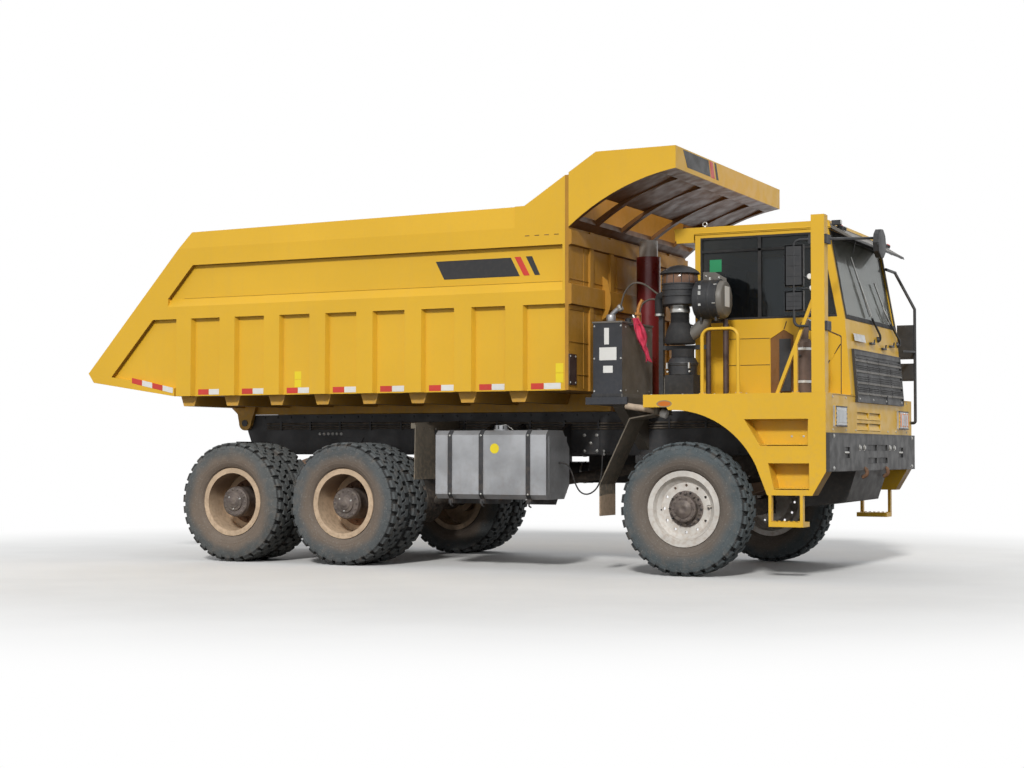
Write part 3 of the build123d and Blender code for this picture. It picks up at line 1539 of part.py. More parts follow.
# Headboard: plate with uprights and the cross rails that wrap round from the sides
headboard_wall = 40
beam_slope = 24
trunnion_side_gap = 12
trunnion_plate = 35
with BuildPart() as headboard:
    with BuildSketch(Plane.YZ.offset(box_front_x + seat_gap)):
        with Locations((0, (floor_bottom_z + front_wall_top_z) / 2)):
            Rectangle(2 * box_y, front_wall_top_z - floor_bottom_z)
    extrude(amount=headboard_wall)
    for low_z, high_z in (
        (mid_rail_bottom_z, mid_rail_top_z + 60),
        (recess_top_z, recess_top_z + 150),
    ):
        with BuildSketch(Plane.XZ.offset(-box_y)):
            Polygon(
                (box_front_x + seat_gap, low_z - beam_slope),
                (box_front_x + seat_gap, high_z + beam_slope),
                (box_wrap_x, high_z),
                (box_wrap_x, low_z),
                align=None,
            )
        extrude(amount=2 * box_y)
    for y in (-1150, -600, 600, 1150):
        with BuildSketch(Plane.YZ.offset(box_front_x + seat_gap)):
            with Locations((y, (floor_bottom_z + canopy_root_z - 5) / 2)):
                Rectangle(90, canopy_root_z - 5 - floor_bottom_z)
        extrude(amount=box_wrap_x - box_front_x - 10)
    # Two bored plates that carry the hoist's trunnions
    for side in (right, left):
        with BuildSketch(Plane.XZ.offset(-side * (hoist_barrel_radius + trunnion_side_gap))):
            Polygon(
                (box_front_x + headboard_wall, floor_bottom_z + 5),
                (hoist_x + 20, hoist_trunnion_z - 75),
                (hoist_x + 75, hoist_trunnion_z - 30),
                (hoist_x + 75, hoist_trunnion_z + 30),
                (hoist_x + 20, hoist_trunnion_z + 75),
                (box_front_x + headboard_wall, hoist_trunnion_z + 240),
                align=None,
            )
            with Locations((hoist_x, hoist_trunnion_z)):
                Circle(hoist_trunnion_radius + running_gap, mode=Mode.SUBTRACT)
        extrude(amount=-side * trunnion_plate)
write(headboard, "box_headboard")

# Canopy: curved sheet from the headboard to the front lip, cheeks, lip beam and ribs
canopy_root_x = box_front_x + seat_gap + headboard_wall
canopy_mid = (front_axle_x - 760, canopy_mid_z)
bay_depth = 26
lip_depth = 170
canopy_bays = [(-1630, -1190), (-1100, -480), (-390, 390), (480, 1100), (1190, 1630)]
with BuildPart() as canopy:
    with BuildSketch(Plane.XZ.offset(-box_y)):
        with BuildLine():
            under = ThreePointArc(
                (canopy_root_x + seat_gap, canopy_root_z), canopy_mid, (canopy_front_x, canopy_lip_z)
            )
            Polyline(
                under @ 1,
                (canopy_front_x, canopy_top_z),
                (canopy_back_x, canopy_top_z),
                (canopy_root_x + seat_gap, front_wall_top_z + 25),
                under @ 0,
            )
        make_face()
    extrude(amount=2 * box_y)
    with BuildSketch(Plane.XZ.offset(-wall_inner_y - 40)):
        with BuildLine():
            over = ThreePointArc(
                (canopy_root_x + seat_gap, canopy_root_z + 60),
                (canopy_mid[0] - 10, canopy_mid[1] + 40),
                (canopy_front_x - 50, canopy_lip_z + 60),
            )
            Polyline(
                over @ 1,
                (canopy_front_x - 50, canopy_top_z + 10),
                (canopy_root_x + seat_gap, canopy_top_z + 10),
                over @ 0,
            )
        make_face()
    extrude(amount=2 * (wall_inner_y + 40), mode=Mode.SUBTRACT)
    # Bays below the sheet, parted by ribs that run back from the lip
    for low_y, high_y in canopy_bays:
        with BuildSketch(Plane.XZ.offset(-high_y)):
            with BuildLine():
                bay = ThreePointArc(
                    (canopy_root_x + bay_depth + 60, canopy_root_z + 190),
                    (canopy_mid[0] - bay_depth * 0.35, canopy_mid[1] + bay_depth),
                    (canopy_front_x - lip_depth, canopy_lip_z + bay_depth - 22),
                )
                Polyline(
                    bay @ 1,
                    (canopy_front_x - lip_depth, canopy_lip_z - 200),
                    (canopy_front_x - lip_depth, canopy_root_z),
                    (canopy_root_x + bay_depth + 60, canopy_root_z),
                    bay @ 0,
                )
            make_face()
        extrude(amount=high_y - low_y, mode=Mode.SUBTRACT)
write(canopy, "box_canopy")

# Hoist: barrel with its trunnions and top cap, then the stages that reach down from it
with BuildPart() as barrel:
    with BuildSketch(Plane.XY.offset(hoist_barrel_bottom_z)):
        with Locations((hoist_x, 0)):
            Circle(hoist_barrel_radius)
    extrude(amount=hoist_barrel_top_z - hoist_barrel_bottom_z)
    with BuildSketch(Plane.XY.offset(hoist_barrel_top_z)):
        with Locations((hoist_x, 0)):
            Circle(hoist_cap_radius)
    extrude(amount=hoist_cap_z - hoist_barrel_top_z)
    with BuildSketch(Plane.XZ.offset(-hoist_barrel_radius - trunnion_side_gap - trunnion_plate)):
        with Locations((hoist_x, hoist_trunnion_z)):
            Circle(hoist_trunnion_radius)
    extrude(amount=2 * (hoist_barrel_radius + trunnion_side_gap + trunnion_plate))
    with BuildSketch(Plane.XY.offset(hoist_barrel_bottom_z)):
        with Locations((hoist_x, 0)):
            Circle(hoist_barrel_radius - stage_step + running_gap)
    extrude(amount=hoist_barrel_top_z - 50 - hoist_barrel_bottom_z, mode=Mode.SUBTRACT)
write(barrel, "hoist_barrel")

for stage in range(1, stage_count + 1):
    outer = hoist_barrel_radius - stage * stage_step
    low_z = hoist_barrel_bottom_z - stage * stage_reveal
    top_z = hoist_barrel_top_z - 60 - stage * 10
    with BuildPart() as tube:
        with BuildSketch(Plane.XY.offset(low_z)):
            with Locations((hoist_x, 0)):
                Circle(outer)
        extrude(amount=top_z - low_z)
        if stage < stage_count:
            with BuildSketch(Plane.XY.offset(low_z)):
                with Locations((hoist_x, 0)):
                    Circle(outer - stage_step + running_gap)
            extrude(amount=top_z - 5 - low_z, mode=Mode.SUBTRACT)
        else:
            # Base eye, filled by its pin, which turns between the cross-member's ears
            with BuildSketch(Plane.XZ.offset(-eye_half)):
                with Locations((hoist_x, (hoist_base_z + low_z + stage_reveal / 2) / 2)):
                    Rectangle(2 * eye_half, low_z + stage_reveal / 2 - hoist_base_z)
                with Locations((hoist_x, hoist_base_z)):
                    Circle(62)
            extrude(amount=2 * eye_half)
    write(tube, f"hoist_stage_{stage}")
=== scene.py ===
from math import cos, pi, radians, sin

import bmesh
import bpy
from mathutils import Matrix, Vector


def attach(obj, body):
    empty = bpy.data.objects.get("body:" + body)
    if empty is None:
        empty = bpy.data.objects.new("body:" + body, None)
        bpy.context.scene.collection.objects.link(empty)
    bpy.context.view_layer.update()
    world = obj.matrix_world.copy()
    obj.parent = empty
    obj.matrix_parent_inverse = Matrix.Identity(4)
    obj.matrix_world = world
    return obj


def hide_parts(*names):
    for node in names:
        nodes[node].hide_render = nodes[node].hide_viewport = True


# Looks of the wide-body mining dump truck.
# Lengths below are millimetres from the ground under the front axle's centre.
FRONT_AXLE_X = 2860
MIDDLE_AXLE, REAR_AXLE = -4000, -5500
WHEEL_Z = 685
CAB_RIGHT, CAB_LEFT = -800, 1300
DECK_TOP = 1848
RIGHT, LEFT = -1, 1
SIDES = ((RIGHT, "right"), (LEFT, "left"))
AHEAD, UP, TO_LEFT, TO_RIGHT = (1, 0, 0), (0, 0, 1), (0, LEFT, 0), (0, RIGHT, 0)

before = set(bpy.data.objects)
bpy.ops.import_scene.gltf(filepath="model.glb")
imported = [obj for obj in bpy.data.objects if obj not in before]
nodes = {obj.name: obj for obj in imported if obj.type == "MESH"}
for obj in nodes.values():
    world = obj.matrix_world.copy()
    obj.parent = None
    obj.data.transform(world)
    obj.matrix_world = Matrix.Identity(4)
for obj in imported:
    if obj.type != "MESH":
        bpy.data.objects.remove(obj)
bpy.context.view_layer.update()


def at(x, y, z):
    return Vector(((FRONT_AXLE_X + x) / 1000, y / 1000, z / 1000))


def placed(name, data):
    """A new object of the scene."""
    made = bpy.data.objects.new(name, data)
    bpy.context.scene.collection.objects.link(made)
    return made


def collar(low, high, outer, inner=0):
    """The outline that Piece.lathe turns into a ring, or into a disc where inner is 0."""
    return [(low, inner), (low, outer), (high, outer), (high, inner)]


def circle(count, radius, shift=0.0):
    """Places round a circle, as (across, up); shift is a share of one step."""
    turns = [2 * pi * (k + shift) / count for k in range(count)]
    return [(radius * cos(a), radius * sin(a)) for a in turns]


def rect(x0, z0, x1, z1):
    return [(x0, z0), (x1, z0), (x1, z1), (x0, z1)]


def pane(x0, z0, x1, z1, y):
    """Corners for Piece.plate, which thickens them towards the right."""
    return [(x, y, z) for x, z in rect(x0, z0, x1, z1)]


class NodeTree:
    """The nodes of a material or of the world."""

    def __init__(self, owner):
        owner.use_nodes = True
        self.tree = owner.node_tree
        self.tree.nodes.clear()

    def node(self, kind, **values):
        made = self.tree.nodes.new(kind)
        for key, value in values.items():
            setattr(made, key, value)
        return made

    def link(self, source, target):
        self.tree.links.new(source, target)

    def put(self, value, socket):
        if isinstance(value, bpy.types.NodeSocket):
            self.link(value, socket)
        else:
            socket.default_value = value

    def maths(self, operation, a, b=0.5, clamp=True):
        made = self.node("ShaderNodeMath", operation=operation, use_clamp=clamp)
        self.put(a, made.inputs[0])
        self.put(b, made.inputs[1])
        return made.outputs[0]

    def times(self, a, b):
        return self.maths("MULTIPLY", a, b)

    def layered(self, factor, below, above):
        """below shows where factor is 0 and above where it is 1."""
        made = self.node("ShaderNodeMixShader")
        self.put(factor, made.inputs[0])
        self.link(below, made.inputs[1])
        self.link(above, made.inputs[2])
        return made.outputs[0]


# Materials: their colour variation, dust, worn edges, painted shade on faces that look down, roughness and
# bump come from nodes
class Shader(NodeTree):
    def __init__(self, name):
        self.material = bpy.data.materials.new(name)
        super().__init__(self.material)
        self.output = self.node("ShaderNodeOutputMaterial")
        self.coords = self.node("ShaderNodeTexCoord").outputs["Object"]

    def noise(self, scale, detail, stretch=(1, 1, 1)):
        mapping = self.node("ShaderNodeMapping")
        mapping.inputs["Scale"].default_value = stretch
        self.link(self.coords, mapping.inputs["Vector"])
        made = self.node("ShaderNodeTexNoise")
        made.inputs["Scale"].default_value = scale
        made.inputs["Detail"].default_value = detail
        made.inputs["Roughness"].default_value = 0.55
        self.link(mapping.outputs["Vector"], made.inputs["Vector"])
        return made.outputs["Fac"]

    def span(self, value, low, high, out_low=0.0, out_high=1.0):
        """low to high turned smoothly into out_low to out_high."""
        made = self.node("ShaderNodeMapRange", interpolation_type="SMOOTHSTEP")
        self.put(value, made.inputs["Value"])
        ends = {"From Min": low, "From Max": high, "To Min": out_low, "To Max": out_high}
        for socket, number in ends.items():
            made.inputs[socket].default_value = number
        return made.outputs["Result"]

    def mix(self, factor, a, b):
        made = self.node("ShaderNodeMix", data_type="RGBA")
        self.put(factor, made.inputs[0])
        self.put(a if isinstance(a, bpy.types.NodeSocket) else (*a, 1), made.inputs[6])
        self.put(b if isinstance(b, bpy.types.NodeSocket) else (*b, 1), made.inputs[7])
        return made.outputs[2]

    def vector(self, operation, a, b=(0, 0, 0)):
        made = self.node("ShaderNodeVectorMath", operation=operation)
        self.put(a, made.inputs[0])
        self.put(b, made.inputs[1])
        return made.outputs["Value" if operation in ("LENGTH", "DOT_PRODUCT") else "Vector"]

    def axis(self, index):
        made = self.node("ShaderNodeSeparateXYZ")
        self.link(self.coords, made.inputs[0])
        return made.outputs[index]

    def facing(self, index):
        """How far the surface faces along one axis, from -1 to 1."""
        made = self.node("ShaderNodeSeparateXYZ")
        self.link(self.node("ShaderNodeNewGeometry").outputs["Normal"], made.inputs[0])
        return made.outputs[index]

    def radius_from(self, x, z):
        away = self.vector("SUBTRACT", self.coords, (x, 0, z))
        return self.vector("LENGTH", self.vector("MULTIPLY", away, (1, 0, 1)))

    def edge(self, width):
        """How near an edge the place is, from 0 to 1, and the rounded normal."""
        rounded = self.node("ShaderNodeBevel", samples=4)
        rounded.inputs["Radius"].default_value = width
        normal = rounded.outputs["Normal"]
        plain = self.node("ShaderNodeNewGeometry").outputs["Normal"]
        return self.span(self.vector("DOT_PRODUCT", normal, plain), 0.995, 0.93), normal

    def finish(self, colour, rough, metallic, bump, bump_depth, normal=None, **inputs):
        surface = self.node("ShaderNodeBsdfPrincipled")
        self.put(colour, surface.inputs["Base Color"])
        self.put(rough, surface.inputs["Roughness"])
        surface.inputs["Metallic"].default_value = metallic
        for key, value in inputs.items():
            surface.inputs[key.replace("_", " ")].default_value = value
        made = self.node("ShaderNodeBump")
        made.inputs["Strength"].default_value = 0.6
        made.inputs["Distance"].default_value = bump_depth
        self.link(bump, made.inputs["Height"])
        if normal is not None:
            self.link(normal, made.inputs["Normal"])
        self.link(made.outputs["Normal"], surface.inputs["Normal"])
        self.link(surface.outputs[0], self.output.inputs["Surface"])
        return self.material


DUST = (0.36, 0.27, 0.19)
BARE_METAL = (0.3, 0.28, 0.26)
EDGE_ROUNDING = 0.004
FACES_UP = 3


def finish_of(
    name,
    colour,
    rough=0.4,
    metallic=0.0,
    vary=0.08,
    scale=1.5,
    dust=0.2,
    dust_top=1.6,
    dust_colour=DUST,
    edge=None,
    edge_amount=0.5,
    grain=160,
    grain_depth=0.0006,
    streaks=0.0,
    underside_shade=None,
    inside=None,
    marks=(),
    **inputs,
):
    """The (colour, amount) pair for faces that look down is painted shade: it darkens what faces down.

    inside is (colour, limits, wear): a second colour where every limit (axis, (edge, within)) holds.
    Axis 1 counts both ways from the middle, and FACES_UP is how far a face looks up.
    marks are patches of colour, (colour, centre, half size).
    """
    shader = Shader(name)
    dark = tuple(c * (1 - vary) for c in colour)
    light = tuple(min(1, c * (1 + vary)) for c in colour)
    shade = shader.mix(shader.span(shader.noise(scale, 5), 0.3, 0.7), dark, light)
    if streaks:
        run = shader.span(shader.noise(9, 3, (1, 1, 0.06)), 0.52, 0.72)
        shade = shader.mix(shader.times(run, streaks), shade, dust_colour)
    rubbed, normal = shader.edge(EDGE_ROUNDING)
    if edge:
        patchy = shader.times(rubbed, shader.span(shader.noise(30, 4), 0.4, 0.62))
        shade = shader.mix(shader.times(patchy, edge_amount), shade, edge)
    if inside:
        second, limits, wear = inside
        within = 1.0
        for index, (start, end) in limits:
            place = shader.facing(2) if index == FACES_UP else shader.axis(index)
            if index == 1:
                place = shader.maths("ABSOLUTE", place, clamp=False)
            within = shader.times(shader.span(place, start, end), within)
        worn_second = tuple(c * 0.55 for c in second)
        scuff = shader.mix(shader.span(shader.noise(2.2, 7, (0.35, 1, 1)), 0.35, 0.65), second, worn_second)
        bare = shader.span(shader.noise(6, 8, (0.2, 1, 1)), 0.52, 0.7)
        scuff = shader.mix(shader.times(bare, wear), scuff, BARE_METAL)
        shade = shader.mix(within, shade, scuff)
    # painted shade: faces that look down are darkened towards the shade colour, in patches
    if underside_shade:
        tone, amount = underside_shade
        below = shader.span(shader.facing(2), -0.1, -0.6)
        patchy = shader.span(shader.noise(1.6, 6), 0.2, 0.6, 0.7, 1.0)
        shade = shader.mix(shader.times(shader.times(below, patchy), amount), shade, tone)
    for tone, centre, half in marks:
        away = shader.vector("DIVIDE", shader.vector("SUBTRACT", shader.coords, centre), half)
        shade = shader.mix(shader.span(shader.vector("LENGTH", away), 1.02, 0.98), shade, tone)
    speckle = shader.span(shader.noise(22, 6), 0.42, 0.66)
    low = shader.span(shader.axis(2), dust_top, 0.2, 0.15, 1.0)
    cover = shader.times(shader.times(speckle, low), dust)
    shade = shader.mix(cover, shade, dust_colour)
    fine = shader.noise(grain, 4)
    worn = shader.span(shader.noise(7, 5), 0.3, 0.7, max(0.05, rough - 0.08), min(1, rough + 0.1))
    rough_value = shader.maths("ADD", worn, shader.times(cover, 0.4))
    return shader.finish(shade, rough_value, metallic, fine, grain_depth, normal, **inputs)


def rubber_tyre(name, axle_x, inner, outer):
    """inner and outer are the wall's colours by the bead and by the tread; radii are in metres."""
    shader = Shader(name)
    radius = shader.radius_from((FRONT_AXLE_X + axle_x) / 1000, WHEEL_Z / 1000)
    broad = shader.span(shader.noise(2.6, 5), 0.3, 0.7)
    wall = shader.mix(broad, tuple(c * 0.9 for c in outer), tuple(c * 1.12 for c in outer))
    wander = shader.span(shader.noise(1.8, 4), 0.3, 0.7, -0.035, 0.035)
    band = shader.maths("ADD", radius, wander, clamp=False)
    shade = shader.mix(shader.span(band, 0.59, 0.47), wall, inner)
    shade = shader.mix(shader.span(radius, 0.668, 0.676), shade, tuple(c * 1.25 for c in outer))
    # painted shade: the tread between the lugs is darkened almost to black
    gap = shader.times(shader.span(radius, 0.640, 0.648), shader.span(radius, 0.668, 0.660))
    shade = shader.mix(shader.times(gap, 0.85), shade, (0.016, 0.016, 0.017))
    caked = shader.times(shader.span(shader.noise(11, 6), 0.5, 0.7), 0.3)
    shade = shader.mix(caked, shade, tuple(c * 1.2 for c in inner))
    chalk = shader.times(shader.span(shader.noise(60, 6), 0.56, 0.72), 0.3)
    shade = shader.mix(chalk, shade, (0.38, 0.38, 0.37))
    rough = shader.span(shader.noise(9, 5), 0.3, 0.7, 0.72, 0.95)
    return shader.finish(shade, rough, 0, shader.noise(90, 6), 0.0025)


def glass_of(name, side, front):
    """side and front each give (tint, haze colour, haze); front is for panes that face along the truck. The
    haze is a dust film whose colour is also painted light: pale on the front panes as a painted reflection,
    dark on the side panes as painted shade.
    """
    shader = Shader(name)
    ahead = shader.span(shader.maths("ABSOLUTE", shader.facing(0), clamp=False), 0.45, 0.55)
    film = shader.span(shader.noise(2.2, 6, (1, 1, 0.4)), 0.3, 0.75)
    clear = shader.node("ShaderNodeBsdfTransparent")
    shader.put(shader.mix(ahead, side[0], front[0]), clear.inputs["Color"])
    haze_and_painted_light = shader.node("ShaderNodeBsdfPrincipled")
    shade = shader.mix(ahead, side[1], front[1])
    shader.put(shader.mix(shader.times(film, 0.5), shade, (0.3, 0.3, 0.28)), haze_and_painted_light.inputs["Base Color"])
    haze_and_painted_light.inputs["Roughness"].default_value = 0.25
    gloss = shader.node("ShaderNodeBsdfGlossy")
    shader.put(shader.span(film, 0, 1, 0.03, 0.08), gloss.inputs["Roughness"])
    shader.put(shader.mix(film, (0.85, 0.9, 0.9), (0.65, 0.68, 0.66)), gloss.inputs["Color"])
    fresnel = shader.node("ShaderNodeFresnel")
    fresnel.inputs["IOR"].default_value = 1.4
    see = shader.layered(fresnel.outputs[0], clear.outputs[0], gloss.outputs[0])
    amount = shader.node("ShaderNodeMapRange")
    shader.put(ahead, amount.inputs["Value"])
    amount.inputs["To Min"].default_value = side[2]
    amount.inputs["To Max"].default_value = front[2]
    cover = shader.times(shader.span(film, 0.0, 1.0, 0.6, 1.0), amount.outputs[0])
    shader.link(shader.layered(cover, see, haze_and_painted_light.outputs[0]), shader.output.inputs["Surface"])
    return shader.material


YELLOW = (0.80, 0.475, 0.035)
# colour of the painted shade on faces that look down
UNDERSIDE_SHADE_COLOUR = (0.095, 0.038, 0.012)


# yellow paint, with painted shade on faces that look down
def yellow_paint(name, **extra):
    return finish_of(
        name, YELLOW, 0.38, vary=0.035, scale=0.8, dust=0.16, dust_top=2.2, edge=(0.84, 0.56, 0.12),
        edge_amount=0.35, streaks=0.03, grain_depth=0.0004, underside_shade=(UNDERSIDE_SHADE_COLOUR, 0.85), Coat_Weight=0.05,
        Coat_Roughness=0.3, Specular_IOR_Level=0.3, **extra,
    )


